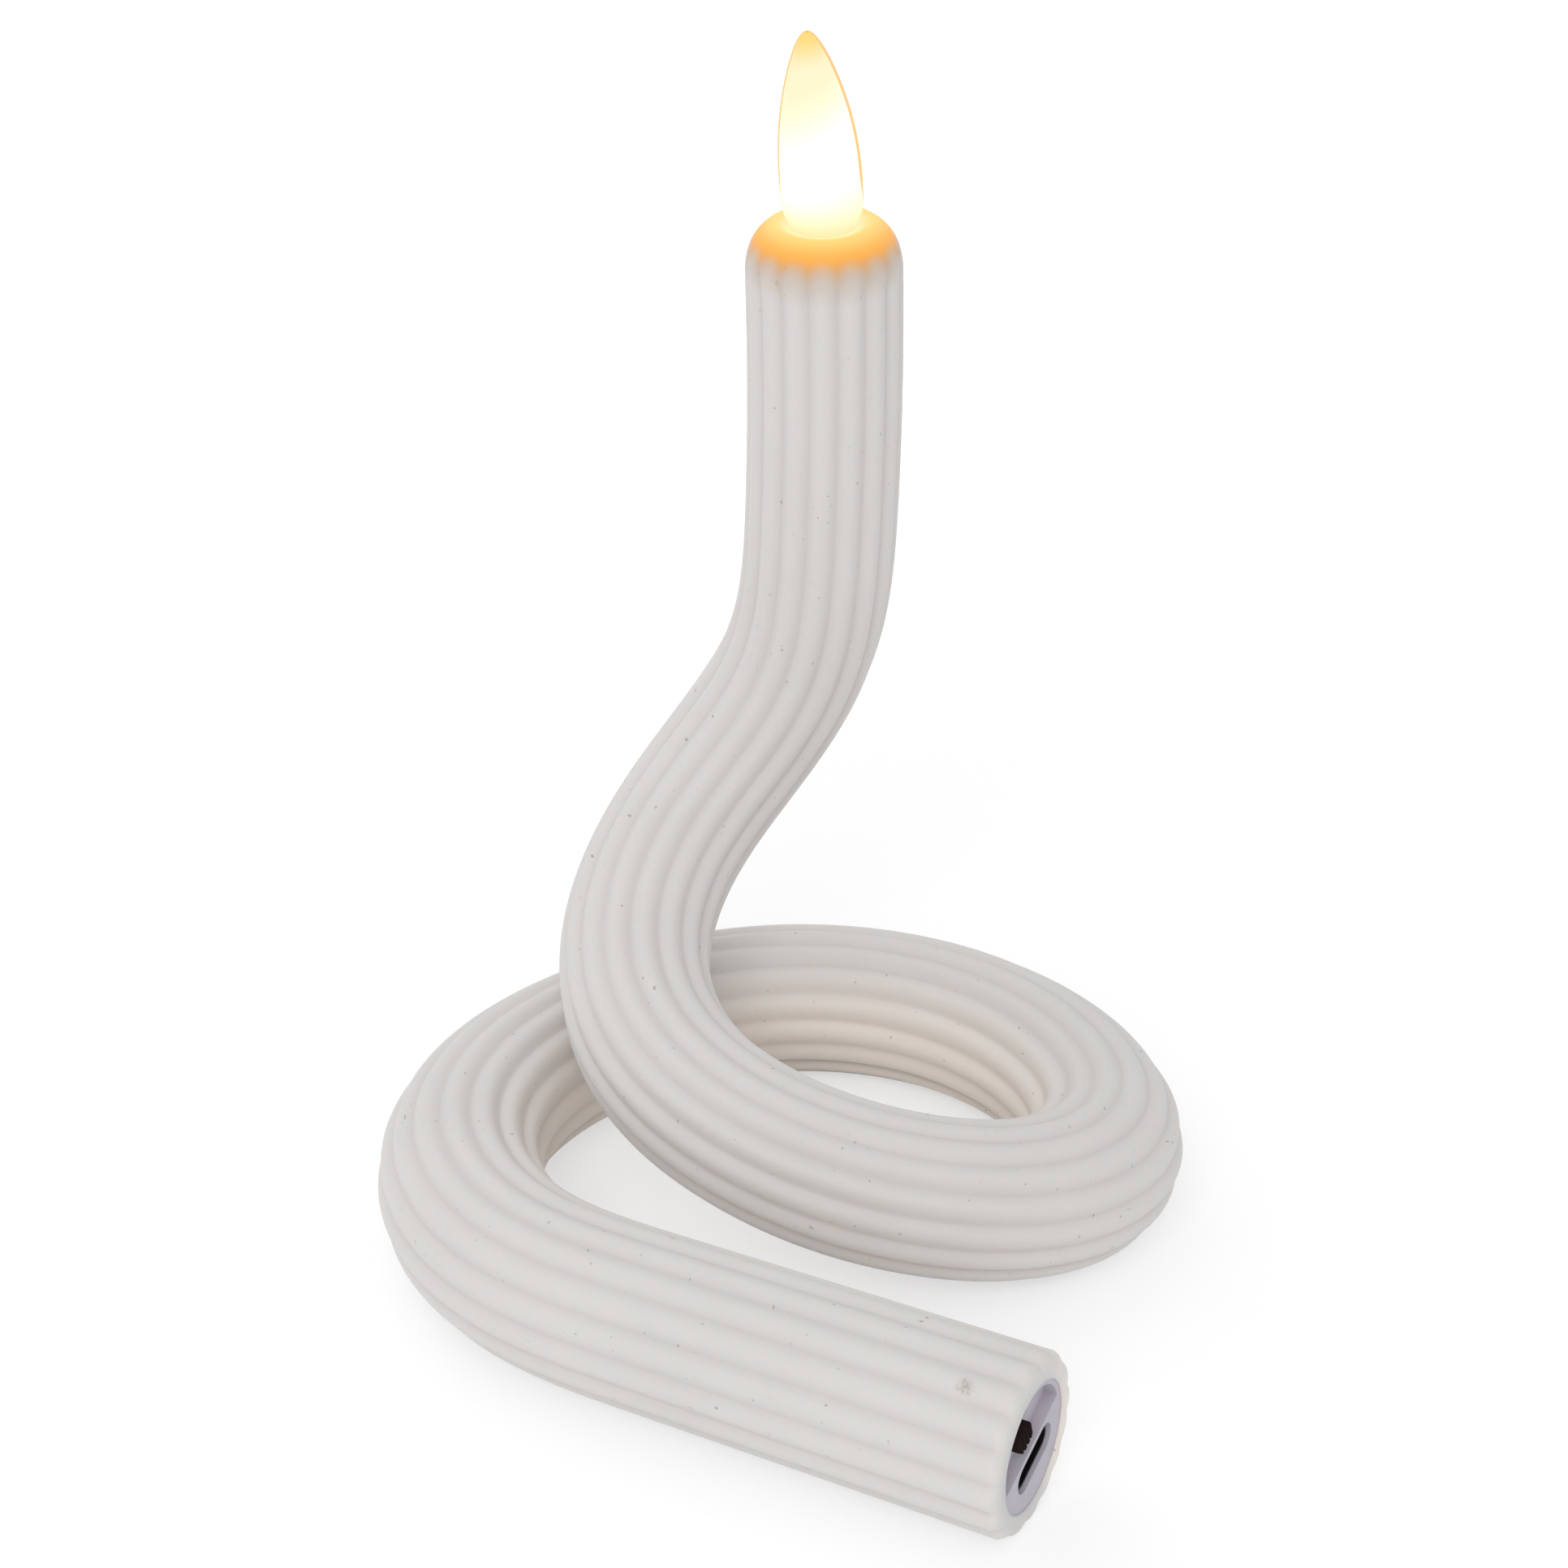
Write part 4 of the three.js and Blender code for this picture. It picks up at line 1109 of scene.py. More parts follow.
@dataclass(frozen=True)
class FlameLining(Finish):
    """The milky inside of the flame, white in its middle and yellow at both ends through the skin."""

    colour: Colour = linear(128, 122, 110)
    foot: Colour = (0.40, 0.48, 0.34, 1.0)
    white: Colour = (1.0, 1.0, 1.0, 1.0)
    upper: Colour = (0.36, 0.56, 0.54, 1.0)
    tip: Colour = (0.34, 0.36, 0.14, 1.0)
    strength: float = 2.6
    foot_range: tuple[float, float] = (-0.03, 0.3)
    upper_range: tuple[float, float] = (0.38, 0.78)
    tip_range: tuple[float, float] = (0.82, 0.99)

    def wire(self, bench: Bench, shader: bpy.types.Node) -> None:
        """Wires the lining.

        Args:
            bench: The material's tree.
            shader: Its Principled shader.
        """
        place = bench.read(PLACE_MARK, "Vector")
        height = bench.read(WARMTH_MARK)
        self.surface(bench, shader, self.colour, place)
        low = bench.mix(bench.remap(height, *self.foot_range), self.foot, self.white)
        middle = bench.mix(bench.remap(height, *self.upper_range), low, self.upper)
        lit = bench.mix(bench.remap(height, *self.tip_range), middle, self.tip)
        bench.fill(shader, Emission_Color=lit, Emission_Strength=self.strength)


SILICONE = SiliconeSkin("silicone_skin")
PLUG_WHITE = MouldedPlastic(
    "plug_white", colour=linear(196, 191, 201), worn_and_lit_edge=linear(214, 210, 218), roughness=0.6, gloss=0.25)
INNER_PLASTIC = MouldedPlastic("inner_plastic", colour=linear(222, 220, 212), worn_and_lit_edge=linear(240, 238, 232))
BLACK_PLASTIC = MouldedPlastic(
    "black_plastic", colour=linear(42, 34, 32), worn_and_lit_edge=linear(50, 44, 42), roughness=0.7, gloss=0.0, wear_and_edge_light=0.5)
STEEL = BrushedMetal("stamped_steel")
# The light edge colour of the dark steel is painted light on the rim of the port's mouth.
DARK_STEEL = BrushedMetal(
    "dark_steel", colour=linear(44, 42, 44), worn_and_lit_edge=linear(196, 190, 198), roughness=0.5)
NICKEL = BrushedMetal(
    "nickel_strip", colour=linear(205, 200, 186), worn_and_lit_edge=linear(228, 224, 214), roughness=0.34)
BOARD = BoardLaminate("board_laminate")
CHIP = MouldedPlastic(
    "chip_black", colour=linear(30, 30, 33), worn_and_lit_edge=linear(62, 62, 64), roughness=0.5, wear_and_edge_light=0.3)
CERAMIC = MouldedPlastic(
    "ceramic", colour=linear(180, 154, 118), worn_and_lit_edge=linear(202, 182, 150), roughness=0.45)
CELL_WRAP = ShrinkWrap("cell_wrap")
CORE_METAL = WireJacket(
    "core_metal", colour=linear(176, 178, 181), scuffed=linear(206, 207, 209), roughness=0.4, metallic=1.0)
RED_JACKET = WireJacket("red_jacket")
BLACK_JACKET = WireJacket("black_jacket", colour=linear(22, 22, 24), scuffed=linear(60, 60, 62))
RED_SHRINK = ShrinkWrap("red_shrink", colour=linear(176, 36, 30), pucker_shade=linear(140, 24, 20))
BLACK_SHRINK = ShrinkWrap("black_shrink", colour=linear(26, 26, 28), pucker_shade=linear(14, 14, 16))
LAMP_RESIN = LampResin("lamp_resin")
FLAME_SKIN = FlameSkin("flame_skin")
FLAME_LINING = FlameLining("flame_lining")


# Sub-assemblies


@dataclass(frozen=True)
class Dressing:
    """What a CAD node wears: a finish, and rounded edges of a width in millimetres."""

    node: str
    finish: Finish
    rounding: float
    weld_reach: float = 0.001
    edge_angle: float = 40.0

    def apply(self) -> None:
        """Joins the node's faces, rounds its edges and gives it its material."""
        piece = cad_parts[self.node]
        for slot in piece.material_slots:
            slot.material = self.finish.material()
        weld = piece.modifiers.new("joined_faces", "WELD")
        weld.merge_threshold = self.weld_reach * MM
        edges = piece.modifiers.new("rounded_edges", "BEVEL")
        edges.width = self.rounding * MM
        edges.segments = 2
        edges.limit_method = "ANGLE"
        edges.angle_limit = math.radians(self.edge_angle)
        edges.harden_normals = True
        LOG.info("dressed %s in %s", self.node, self.finish.name)


@dataclass
class Sleeve:
    """The ribbed silicone sleeve: one skin from the foot's rim over the dome and back through the bore."""

    candle: Candle
    rib_count: int = 16
    points_per_rib: int = 12
    rib_depth: float = 0.75
    rib_twist: float = -3.0
    groove_softness: float = 0.14
    foot_rounding: float = 1.5
    foot_rib_share: float = 0.7
    lip: float = 0.2
    lip_reach: float = 0.4
    lip_back: float = 0.295
    lip_turns: tuple[float, ...] = (0, 45, 90)
    rim_shares: tuple[float, ...] = (0, 0.05, 0.12, 0.22, 0.34, 0.48, 0.64, 0.82)
    ring_pitch: float = 1.5
    bore_pitch: float = 4.0
    dome_height: float = 8.6
    dome_fullness: float = 2.7
    dome_steps: int = 32
    dome_spacing: float = 1.25
    dish_radius: float = 6.4
    dish_depth: float = 1.4
    rib_fade: float = 4.2
    pocket_radius: float = 8.7
    pocket_depth: float = 56.8
    neck_radius: float = 4.2
    neck_depth: float = 60.8
    bore_radius: float = 3.2
    cavity_radius: float = 6.6
    cavity_bottom: float = -17.5
    cavity_top: float = 2.2
    hole_radius: float = 4.02
    hole_bottom: float = 5.6
    glow_radius: float = 9.3
    glow_blur: float = 0.8
    glow_scallop: float = 0.15
    # Painted warm glow on the dome: the height where it is full, how it rises, and how much of it the
    # crests get.
    fringe_height: float = 6.0
    fringe_power: float = 1.1
    fringe_on_crests: float = 0.6
    # Where the painted light on the loop's inner side reaches: below these heights and facing into the
    # loop.
    inner_light_top: float = 24.0
    inner_light_low: float = 8.0
    inner_light_facing: tuple[float, float] = (0.1, 0.8)
    # How much of the painted valley shade the upper side keeps, and the slope below which it is full.
    upper_valley_shade: float = 0.55
    full_valley_shade_slope: float = -0.6
    table_give: float = 0.15

    def __post_init__(self) -> None:
        """Sets up the lists that the rings fill."""
        self.count = self.rib_count * self.points_per_rib
        self.rings: list[np.ndarray] = []
        names = (VALLEY_SHADE_MARK, GLOW_MARK, WARMTH_MARK, GLOW_FRINGE_MARK, INNER_LIGHT_MARK)
        self.marks: dict[str, list[np.ndarray]] = {name: [] for name in names}

    def groove(self) -> np.ndarray:
        """Gives how deep each point of a ring lies, from 0 on a crest to 1 at a groove's bottom.

        Returns:
            One share for each point.
        """
        stop = (np.arange(self.count) % self.points_per_rib) / self.points_per_rib
        soft = self.groove_softness
        lift = np.sqrt(np.cos(math.pi * stop) ** 2 + soft ** 2)
        return 1 - (lift - soft) / (math.sqrt(1 + soft ** 2) - soft)

    def add_ring(self, place: Place, radius: float, depth: float, forward: float = 0.0,
                 height: float | None = None, share: float = 0.0) -> None:
        """Adds a ring of the skin.

        Args:
            place: The section that it lies in.
            radius: Its radius over the crests.
            depth: The depth of its valleys.
            forward: How far it is moved ahead.
            height: How high it lies above the dome's shoulder, on the dome's outside only.
            share: How far along the ribbed length it lies, from 0 to 1.
        """
        deep = self.groove()
        start = math.radians(90 + self.candle.line.switch_tilt + self.rib_twist * (1 - share))
        ring = ring_points(place, radius - depth * deep, self.count, forward, start=start)
        self.rings.append(ring)
        # Painted shade for the valleys, stronger where the ring faces the table.
        toned = self.valley_shade_of(place, ring)
        self.marks[VALLEY_SHADE_MARK].append(deep * min(depth / self.rib_depth, 1) * toned)
        self.marks[GLOW_MARK].append(self.glow_of(radius, deep, height))
        from_hole = (radius - self.hole_radius) / (self.glow_radius - self.hole_radius)
        self.marks[WARMTH_MARK].append(np.full(self.count, min(max(from_hole, 0), 1)))
        # Painted warm glow on the dome, rising with height and strongest in the valleys.
        rise = 0.0 if height is None else min(max(height / self.fringe_height, 0), 1)
        on_ribs = self.fringe_on_crests + (1 - self.fringe_on_crests) * deep
        self.marks[GLOW_FRINGE_MARK].append(rise ** self.fringe_power * on_ribs)
        # Painted light low on the loop's inner side.
        self.marks[INNER_LIGHT_MARK].append(self.inner_light_of(place, ring))

    def valley_shade_of(self, place: Place, ring: np.ndarray) -> np.ndarray:
        """Gives how strongly the painted shade shows in the valleys of a ring, which is most on the table's
        side.

        Args:
            place: The section that the ring lies in.
            ring: Its points.

        Returns:
            One share for each point.
        """
        outward = ring - place.point
        upward = outward[:, 2] / np.linalg.norm(outward, axis=1)
        return self.upper_valley_shade + (1 - self.upper_valley_shade) * smoothstep(0, self.full_valley_shade_slope, upward)

    def inner_light_of(self, place: Place, ring: np.ndarray) -> np.ndarray:
        """Gives how much each point of a ring lies low on the inner side of the loop.

        Args:
            place: The section that the ring lies in.
            ring: Its points.

        Returns:
            One share for each point, used for the painted light, lighter and warmer, that stands in for
            light bounced into the loop there.
        """
        inward = np.cross(place.ahead, np.array([0.0, 0.0, 1.0]))
        outward = ring - place.point
        facing = outward @ inward / np.linalg.norm(outward, axis=1)
        low = smoothstep(self.inner_light_top, self.inner_light_low, ring[:, 2])
        return smoothstep(*self.inner_light_facing, facing) * low

    def glow_of(self, radius: float, deep: np.ndarray, height: float | None) -> np.ndarray:
        """Gives how strongly a ring of the dome glows.

        Args:
            radius: The ring's radius.
            deep: How deep each point lies between the ribs.
            height: The ring's height above the shoulder, or None off the dome.

        Returns:
            One share for each point.
        """
        if height is None:
            return np.zeros(self.count)
        edge = self.glow_radius + self.glow_scallop * (deep - 0.5)
        return smoothstep(1, -1, (radius - edge) / self.glow_blur)

    def foot_rings(self) -> None:
        """Adds the lip that closes round the plug's face, and the rounded rim."""
        foot = self.candle.foot
        self.add_ring(foot, self.pocket_radius, 0, self.lip_back)
        self.add_ring(foot, self.pocket_radius - self.lip_reach, 0, self.lip_back)
        for turn in self.lip_turns:
            angle = math.radians(turn)
            radius = self.pocket_radius - self.lip_reach + self.lip * (1 - math.cos(angle))
            self.add_ring(foot, radius, 0, self.lip * (1 - math.sin(angle)))
        for share in self.rim_shares:
            inset = self.foot_rounding * (1 - math.sqrt(1 - (1 - share) ** 2))
            depth = self.rib_depth * (self.foot_rib_share + (1 - self.foot_rib_share) * share)
            self.add_ring(foot, self.candle.line.foot_radius - inset, depth, share * self.foot_rounding)

    def body_rings(self) -> None:
        """Adds the ribbed length."""
        length = self.candle.line.length
        steps = round((length - self.foot_rounding) / self.ring_pitch)
        for along in np.linspace(self.foot_rounding, length, steps + 1):
            radius = self.candle.line.crest_radius(along)
            self.add_ring(self.candle.at(along), radius, self.rib_depth, share=along / length)

    def dome_rings(self) -> None:
        """Adds the dome, up to the hole that the flame's neck stands in."""
        power = 2 / self.dome_fullness
        last = math.acos((self.hole_radius / self.candle.line.top_radius) ** (1 / power))
        for share in np.linspace(0, 1, self.dome_steps + 1)[1:]:
            angle = last * share ** self.dome_spacing
            radius = self.candle.line.top_radius * math.cos(angle) ** power
            height = self.dome_height * math.sin(angle) ** power
            fade = 1 - smoothstep(0, self.rib_fade, np.array(height))
            dip = self.dish_depth * float(smoothstep(self.dish_radius, self.hole_radius, np.array(radius)))
            depth = self.rib_depth * float(fade)
            self.add_ring(self.candle.top, radius, depth, height - dip, height, share=1)

    def inner_rings(self) -> None:
        """Adds the hollow for flame, holder and wires, back down to the plug's pocket."""
        top, foot = self.candle.top, self.candle.foot
        self.add_ring(top, self.hole_radius, 0, self.hole_bottom, self.hole_bottom, share=1)
        for radius, height in (
            (self.cavity_radius, self.cavity_top),
            (self.cavity_radius, self.cavity_bottom),
            (self.bore_radius, self.cavity_bottom),
        ):
            self.add_ring(top, radius, 0, height, share=1)
        start = self.candle.line.length + self.cavity_bottom - self.bore_pitch
        steps = round((start - self.neck_depth) / self.bore_pitch)
        for along in np.linspace(start, self.neck_depth + 1, steps + 1):
            self.add_ring(self.candle.at(along), self.bore_radius, 0)
        for radius, depth in (
            (self.bore_radius, self.neck_depth),
            (self.neck_radius, self.neck_depth),
            (self.neck_radius, self.pocket_depth),
            (self.pocket_radius, self.pocket_depth),
        ):
            self.add_ring(foot, radius, 0, depth)

    def build(self) -> bpy.types.Object:
        """Builds the sleeve and lets it rest on the table.

        Returns:
            The sleeve.
        """
        self.foot_rings()
        self.body_rings()
        self.dome_rings()
        self.inner_rings()
        for ring in self.rings:
            low = ring[:, 2] < self.table_give
            ring[low, 2] = self.table_give * np.exp(ring[low, 2] / self.table_give - 1)
        sleeve = loft("sleeve", self.rings, looped=True)
        mark_places(sleeve)
        for name, values in self.marks.items():
            mark(sleeve, name, np.concatenate(values))
        sleeve.data.materials.append(SILICONE.material())
        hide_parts("sleeve_lower", "sleeve_upper")
        bend_with_stem(sleeve, self.candle)
        LOG.info("sleeve: %d points", len(sleeve.data.vertices))
        return sleeve


def bend_with_stem(piece: bpy.types.Object, candle: Candle) -> None:
    """Bakes a long soft piece's place into its mesh; the stem's hinge is found but the piece is not bent.

    Args:
        piece: The piece.
        candle: The middle line.
    """
    hinge = candle.at(candle.line.length - candle.line.hinge_below_top)
    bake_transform(piece)


@dataclass
class Wiring:
    """The core wire and the two lamp leads in the bore."""

    candle: Candle
    core_radius: float = 1.6
    core_offset: float = -1.0
    core_start: float = 53.1
    core_end: float = -14.4
    core_sides: int = 20
    paddle_width: float = 7.2
    paddle_squareness: float = 0.6
    foot_paddle: tuple[tuple[float, float], ...] = (
        (0.9, 0.0), (1.0, 0.2), (1.0, 1.3), (0.85, 1.6), (0.0, 1.9))
    top_paddle: tuple[tuple[float, float], ...] = (
        (0.0, -2.0), (0.0, -0.3), (0.85, 0.0), (1.0, 0.3), (1.0, 1.4), (0.9, 1.6))
    paddle_gap: float = 4.0
    lead_radius: float = 0.6
    lead_sides: int = 14
    lead_spread: float = 1.1
    lead_offset: float = 1.85
    lead_middle: float = 58.0
    middle_end: float = -19.2
    pitch: float = 3.0

    def core(self) -> bpy.types.Object:
        """Builds the core wire with its two hammered ends.

        Returns:
            The core.
        """
        top, foot = self.candle.top, self.candle.foot
        across = np.cos(np.arange(self.core_sides) / self.core_sides * 2 * math.pi)
        upward = np.sin(np.arange(self.core_sides) / self.core_sides * 2 * math.pi)

        def section(place: Place, flat: float, forward: float) -> np.ndarray:
            """Gives one section of the core.

            Args:
                place: Where it lies.
                flat: How far it is hammered, from 0 for a round wire to 1 for a flat paddle.
                forward: How far it is moved ahead.

            Returns:
                Its points.
            """
            wide = self.core_radius + flat * (self.paddle_width / 2 - self.core_radius)
            power = 1 - self.paddle_squareness * flat
            x = wide * np.sign(across) * np.abs(across) ** power
            y = self.core_radius * np.sign(upward) * np.abs(upward) ** power + self.core_offset
            return place.point + np.outer(x, place.side) + np.outer(y, place.rise) + place.ahead * forward

        rings = [section(foot, flat, self.core_start + shift) for flat, shift in self.foot_paddle]
        middle = np.arange(
            self.core_start + self.paddle_gap, self.candle.line.length + self.middle_end, self.pitch)
        rings += [section(self.candle.at(along), 0.0, 0.0) for along in middle]
        rings += [section(top, flat, self.core_end + shift) for flat, shift in self.top_paddle]
        return self.finish(loft("core_wire_round", rings), "core_wire", CORE_METAL, Slot.CORE_METAL)

    def lead(self, hand: int, name: str, node: str, finish: Finish, slot: Slot) -> bpy.types.Object:
        """Builds one lead, from the board over the cell and up to the lamp.

        Args:
            hand: 1 or -1 for the side that it lies on.
            name: The new piece's name.
            node: The CAD node that it stands for.
            finish: Its finish.
            slot: Its material slot.

        Returns:
            The lead.
        """
        foot, top = self.candle.foot, self.candle.top
        spread, offset = self.lead_spread, self.lead_offset
        near_foot = [
            (12.9, 3.0, 1.35), (14.0, 2.9, 1.6), (15.0, 2.4, 3.8), (16.3, 1.9, 6.2), (18.0, 1.6, 6.45),
            (33.5, 1.6, 6.45), (50.0, 1.6, 6.45), (51.5, 1.55, 6.05), (52.75, 1.36, 4.4),
            (53.9, 1.18, 2.6), (55.0, spread, offset + 0.03), (56.2, spread, offset),
        ]
        near_top = [
            (-16.2, spread, offset), (-13.9, spread, offset), (-12.4, spread + 0.05, offset - 0.35),
            (-11.2, 1.25, 0.5), (-10.4, 1.27, 0.05), (-8.8, 1.27, 0.0),
        ]
        middle = np.arange(self.lead_middle, self.candle.line.length + self.middle_end, self.pitch)
        guides = [foot.spot(hand * x, y, forward) for forward, x, y in near_foot]
        guides += [self.candle.at(along).spot(hand * spread, offset) for along in middle]
        guides += [top.spot(hand * x, y, forward) for forward, x, y in near_top]
        rings = tube_rings(np.array(guides), self.lead_radius, self.lead_sides)
        return self.finish(loft(name, rings), node, finish, slot)

    def finish(self, piece: bpy.types.Object, node: str, finish: Finish, slot: Slot) -> bpy.types.Object:
        """Dresses a wire and bakes its place into its mesh.

        Args:
            piece: The wire.
            node: The CAD node that it stands for.
            finish: Its finish.
            slot: Its material slot; not used.

        Returns:
            The wire.
        """
        mark_places(piece)
        piece.data.materials.append(finish.material())
        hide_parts(node)
        bend_with_stem(piece, self.candle)
        LOG.info("%s: %d points", piece.name, len(piece.data.vertices))
        return piece

    def build(self) -> list[bpy.types.Object]:
        """Builds core and leads.

        Returns:
            The three wires.
        """
        return [
            self.core(),
            self.lead(1, "lead_red_round", "lead_red", RED_JACKET, Slot.RED_INSULATION),
            self.lead(-1, "lead_black_round", "lead_black", BLACK_JACKET, Slot.BLACK_INSULATION),
        ]


def tube_rings(guides: np.ndarray, radius: float, sides: int, between: int = 3) -> list[np.ndarray]:
    """Lays round rings along a smooth curve through guide points.

    Args:
        guides: The points that the curve passes.
        radius: The tube's radius.
        sides: The points of each ring.
        between: The steps from one guide to the next.

    Returns:
        The rings.
    """
    padded = np.vstack([2 * guides[0] - guides[1], guides, 2 * guides[-1] - guides[-2]])
    path = []
    for index in range(1, len(padded) - 2):
        a, b, c, d = padded[index - 1:index + 3]
        for step in range(between):
            t = step / between
            path.append(0.5 * (2 * b + (c - a) * t + (2 * a - 5 * b + 4 * c - d) * t ** 2
                               + (3 * b - a - 3 * c + d) * t ** 3))
    path = np.array(path + [guides[-1]])
    ahead = np.gradient(path, axis=0)
    ahead /= np.linalg.norm(ahead, axis=1)[:, None]
    rise = np.cross(ahead[0], np.array([0.0, 0.0, 1.0]))
    rings = []
    for point, direction in zip(path, ahead):
        side = np.cross(rise, direction)
        side = side / np.linalg.norm(side)
        rise = np.cross(direction, side)
        rings.append(ring_points(Place(point, side, rise, direction), radius, sides))
    return rings


@dataclass
class Flame:
    """The flame: a thin amber shell with a milky lining, standing in the dome."""

    candle: Candle
    sides: int = 72
    rings: int = 60
    base: float = 6.9
    height: float = 25.85
    width: float = 10.65
    widest: float = 0.27
    foot_taper: float = 0.2582
    foot_power: float = 4.5
    tip_taper: float = 0.28
    lean: float = 1.6
    lean_power: float = 1.4
    neck_radius: float = 3.95
    flange_radius: float = 6.3
    flange_bottom: float = 0.9
    flange_top: float = 1.9
    wall: float = 0.3
    thinnest_wall: float = 0.02
    wall_range: tuple[float, float] = (0.08, 0.3)
    tip_radius: float = 0.02
    lining_end: float = 0.992
    lining_shift: float = 0.1
    warmer_side: float = 0.09

    def radius(self, share: float) -> float:
        """Gives the flame's radius.

        Args:
            share: The share of its height.

        Returns:
            The radius there, in millimetres.
        """
        half = self.width / 2
        if share < self.widest:
            below = (self.widest - share) / self.widest
            return half * (1 - self.foot_taper * below ** self.foot_power)
        climbed = (share - self.widest) / (1 - self.widest)
        return half * math.sqrt(max(1 - climbed ** 2, 0)) * (1 - self.tip_taper * climbed ** 2)

    def sway(self, share: float) -> float:
        """Gives how far the flame's middle leans at a share of its height."""
        return self.lean * share ** self.lean_power

    def stand(self) -> Place:
        """Gives the frame that the flame stands in.

        Returns:
            The dome's shoulder, with side towards the flame's lean.
        """
        up = self.candle.top.ahead
        left = np.array([-1.0, 0.0, 0.0])
        left = left - up * left.dot(up)
        left = left / np.linalg.norm(left)
        return Place(self.candle.top.point, left, np.cross(up, left), up)

    def skin(self, inset: float, shift: float, last: float) -> tuple[list[np.ndarray], list[float]]:
        """Lays the rings of one skin of the flame, from its foot to its tip.

        Args:
            inset: How far it lies inside the outer shape.
            shift: How far it is moved towards the lean.
            last: The share of the height where it ends.

        Returns:
            The rings and the share of the height of each.
        """
        stand = self.stand()
        rings, shares = [], []
        for turn in np.linspace(0, math.pi / 2, self.rings):
            share = last * math.sin(turn)
            full = float(smoothstep(*self.wall_range, np.array(share)))
            inside = inset * (self.thinnest_wall + (1 - self.thinnest_wall) * full)
            radius = max(self.radius(share) - inside, self.tip_radius)
            forward = self.base + share * self.height
            middle = self.sway(share) + shift * inside / self.wall
            rings.append(ring_points(stand, radius, self.sides, forward, x=middle))
            shares.append(share)
        return rings, shares

    def build(self) -> bpy.types.Object:
        """Builds the flame as one closed shell, amber outside and milky inside.

        Returns:
            The flame.
        """
        stand = self.stand()
        outer, outer_shares = self.skin(0, 0, 1)
        inner, inner_shares = self.skin(self.wall, self.lining_shift, self.lining_end)
        foot = [
            ring_points(stand, radius, self.sides, forward)
            for radius, forward in (
                (self.neck_radius - self.wall, self.flange_bottom),
                (self.flange_radius, self.flange_bottom),
                (self.flange_radius, self.flange_top),
                (self.neck_radius, self.flange_top),
            )
        ]
        rings = foot + outer + inner[::-1]
        flame = loft("flame", rings, looped=True)
        shares = [0.0] * len(foot) + outer_shares + inner_shares[::-1]
        mark_places(flame)
        lean_side = np.cos(np.arange(self.sides) / self.sides * 2 * math.pi)
        height = np.array(shares)
        swell = (4 * height * (1 - height)) ** 2
        warmth = height[:, None] + self.warmer_side * np.outer(swell, lean_side)
        mark(flame, WARMTH_MARK, warmth.ravel())
        flame.data.materials.append(FLAME_SKIN.material())
        flame.data.materials.append(FLAME_LINING.material())
        first_inner = (len(foot) + len(outer)) * self.sides
        for face in flame.data.polygons:
            face.material_index = int(min(face.vertices) >= first_inner)
        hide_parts("flame_shell")
        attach(flame, Body.STEM.value)
        LOG.info("flame: %d points", len(flame.data.vertices))
        return flame


@dataclass
class FootParts:
    """What the foot holds: plug, switch, socket, board, cell and their housing."""

    pieces: tuple[Dressing, ...] = (
        Dressing("end_plug", PLUG_WHITE, 0.15),
        Dressing("switch_knob", BLACK_PLASTIC, 0.1),
        Dressing("switch_body", STEEL, 0.12),
        Dressing("socket_shell", DARK_STEEL, 0.06),
        Dressing("socket_tongue", BLACK_PLASTIC, 0.06),
        Dressing("battery_tube", INNER_PLASTIC, 0.12),
        Dressing("main_board", BOARD, 0.05),
        Dressing("charge_chip", CHIP, 0.12),
        Dressing("driver_chip", CHIP, 0.1),
        Dressing("lamp_resistor", CHIP, 0.06),
        Dressing("charge_capacitor", CERAMIC, 0.1),
        Dressing("battery_cell", CELL_WRAP, 0.3),
        Dressing("positive_tab", NICKEL, 0.03),
        Dressing("negative_tab", NICKEL, 0.03),
    )

    def build(self) -> None:
        """Dresses each piece."""
        for piece in self.pieces:
            piece.apply()


@dataclass
class LampParts:
    """What the top holds below the flame: holder, lamp and its joined legs."""

    pieces: tuple[Dressing, ...] = (
        Dressing("lamp_holder", INNER_PLASTIC, 0.15),
        Dressing("lamp", LAMP_RESIN, 0.1),
        Dressing("lamp_leg_red", STEEL, 0.05),
        Dressing("lamp_leg_black", STEEL, 0.05),
        Dressing("shrink_red", RED_SHRINK, 0.06),
        Dressing("shrink_black", BLACK_SHRINK, 0.06),
    )

    def build(self) -> None:
        """Dresses each piece."""
        for piece in self.pieces:
            piece.apply()


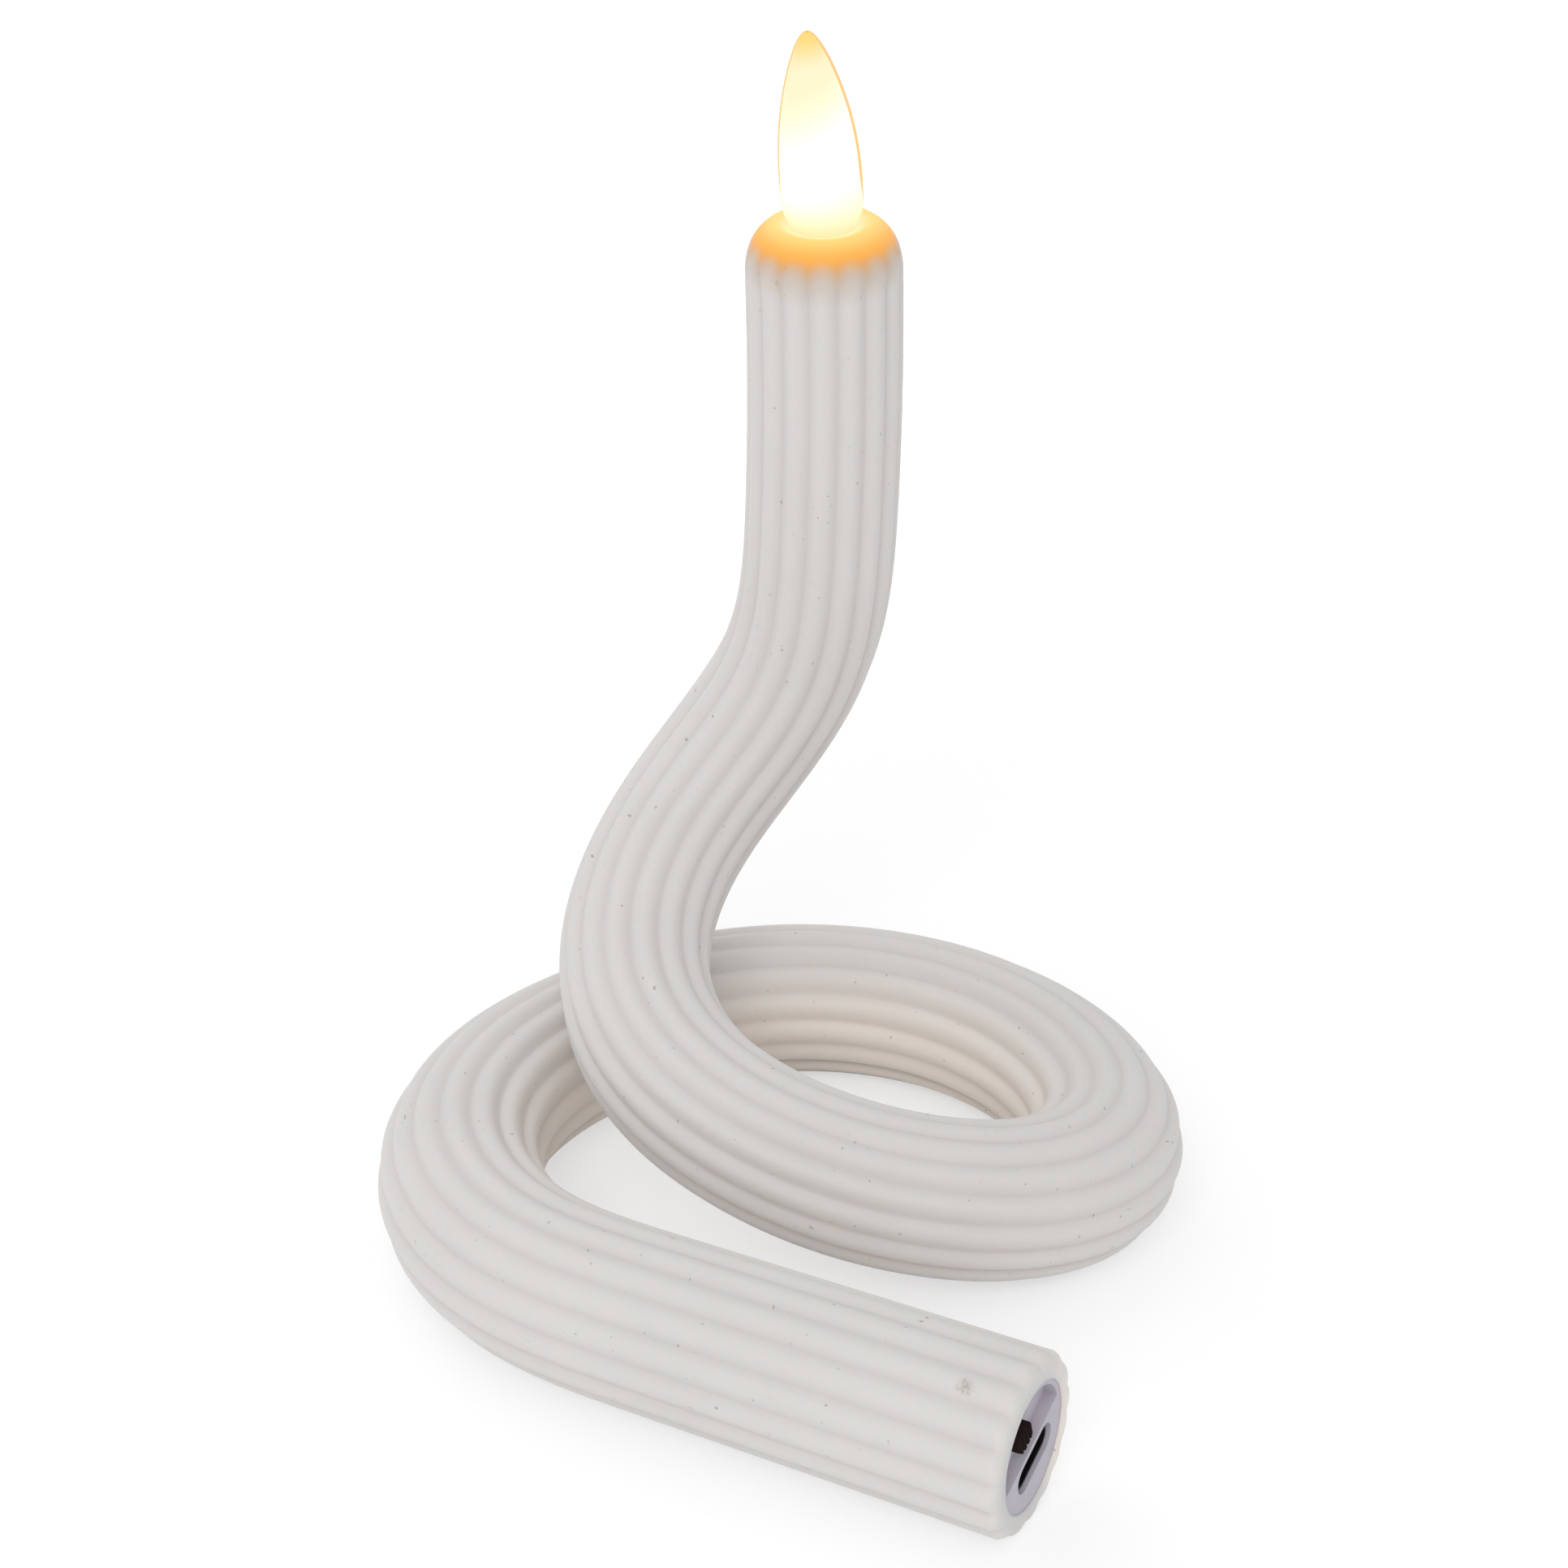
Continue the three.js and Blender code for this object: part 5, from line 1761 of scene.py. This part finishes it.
@dataclass
class Studio:
    """A white table under soft light, and the camera."""

    lens: float = 68.2636
    sensor: float = 36.0
    position: tuple[float, float, float] = (0.002526, -0.332794, 0.237344)
    pitch: float = 26.4167
    yaw: float = 0.4411
    clip_start: float = 0.01
    aim: tuple[float, float, float] = (0.0, 0.0, 0.05)
    floor_size: float = 6.0
    ambient: float = 0.66
    key_power: float = 5.8
    key_place: tuple[float, float, float] = (-0.22, -1.12, 0.9)
    key_size: float = 0.8
    fill_power: float = 1.8
    fill_place: tuple[float, float, float] = (-0.5, 0.6, 0.9)
    fill_size: float = 0.9
    floor_roughness: float = 0.7
    floor_gloss: float = 0.2
    floor_lighting: Colour = linear(252, 252, 252)
    floor_seen: Colour = linear(188, 188, 189)
    floor_lift: float = 0.56
    shade_near: float = 0.18
    shade_far: float = 0.5

    def camera(self) -> None:
        """Places the camera where the photograph was taken from."""
        data = bpy.data.cameras.new("studio_camera")
        data.lens = self.lens
        data.sensor_width = self.sensor
        data.clip_start = self.clip_start
        camera = place_object("studio_camera", data)
        camera.location = self.position
        camera.rotation_euler = (math.radians(90 - self.pitch), 0, math.radians(self.yaw))
        bpy.context.scene.camera = camera

    def lamp(self, name: str, place: tuple[float, float, float], size: float, power: float) -> None:
        """Adds one soft square lamp that faces the candle.

        Args:
            name: Its name.
            place: Where it hangs.
            size: Its side in metres.
            power: Its power in watts.
        """
        data = bpy.data.lights.new(name, "AREA")
        data.size = size
        data.energy = power
        lamp = place_object(name, data)
        lamp.location = place
        lamp.rotation_euler = (Vector(self.aim) - Vector(place)).to_track_quat("-Z", "Y").to_euler()

    def world(self) -> None:
        """Sets a plain white surround that camera, gloss and glass see at full white."""
        world = bpy.data.worlds.new("studio_surround")
        world.use_nodes = True
        world.node_tree.nodes.clear()
        bench = Bench(world.node_tree)
        seen = bench.seen("Is Camera Ray", "Is Glossy Ray", "Is Transmission Ray")
        strength = bench.remap(seen, 0.0, 1.0, self.ambient, 1.0)
        shade = bench.node("Background", Color=(1, 1, 1, 1), Strength=strength)
        output = bench.node("OutputWorld")
        bench.feed(output.inputs[0], shade.outputs[0])
        bpy.context.scene.world = world

    def floor(self) -> None:
        """Lays the white table, which keeps the candle's shadow."""
        half = self.floor_size / 2
        mesh = bpy.data.meshes.new("table_top")
        corners = [(-half, -half, 0), (half, -half, 0), (half, half, 0), (-half, half, 0)]
        mesh.from_pydata(corners, [], [(0, 1, 2, 3)])
        floor = place_object("table_top", mesh)
        material = bpy.data.materials.new("table_white")
        material.use_nodes = True
        bench = Bench(material.node_tree)
        seen = bench.seen("Is Camera Ray", "Is Glossy Ray")
        place = bench.node("TexCoord").outputs["Object"]
        away = bench.node("VectorMath", {"operation": "LENGTH"}, Vector=place)
        near = bench.remap(away.outputs["Value"], self.shade_near, self.shade_far, 1.0, 0.0)
        toned = bench.math("MULTIPLY", seen, near)
        bench.fill(
            material.node_tree.nodes["Principled BSDF"],
            Base_Color=bench.mix(toned, self.floor_lighting, self.floor_seen),
            Roughness=self.floor_roughness,
            Specular_IOR_Level=self.floor_gloss,
            Emission_Color=(1, 1, 1, 1),
            Emission_Strength=bench.math("MULTIPLY", seen, self.floor_lift),
        )
        mesh.materials.append(material)

    def build(self) -> None:
        """Sets up camera, lamps, surround and table."""
        scene = bpy.context.scene
        scene.view_settings.view_transform = "Standard"
        self.camera()
        self.lamp("key_lamp", self.key_place, self.key_size, self.key_power)
        self.lamp("fill_lamp", self.fill_place, self.fill_size, self.fill_power)
        self.world()
        self.floor()
        LOG.info("studio is set")


def main() -> None:
    """Builds the candle's sub-assemblies in order, dresses them and sets the studio."""
    logging.basicConfig(level=logging.INFO, format="%(name)s: %(message)s")
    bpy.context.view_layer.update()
    candle = Candle(MiddleLine())
    Sleeve(candle).build()
    Wiring(candle).build()
    Flame(candle).build()
    FootParts().build()
    LampParts().build()
    Studio().build()
    bpy.context.view_layer.update()
    LOG.info("sizes are written")


if __name__ == "__main__":
    main()
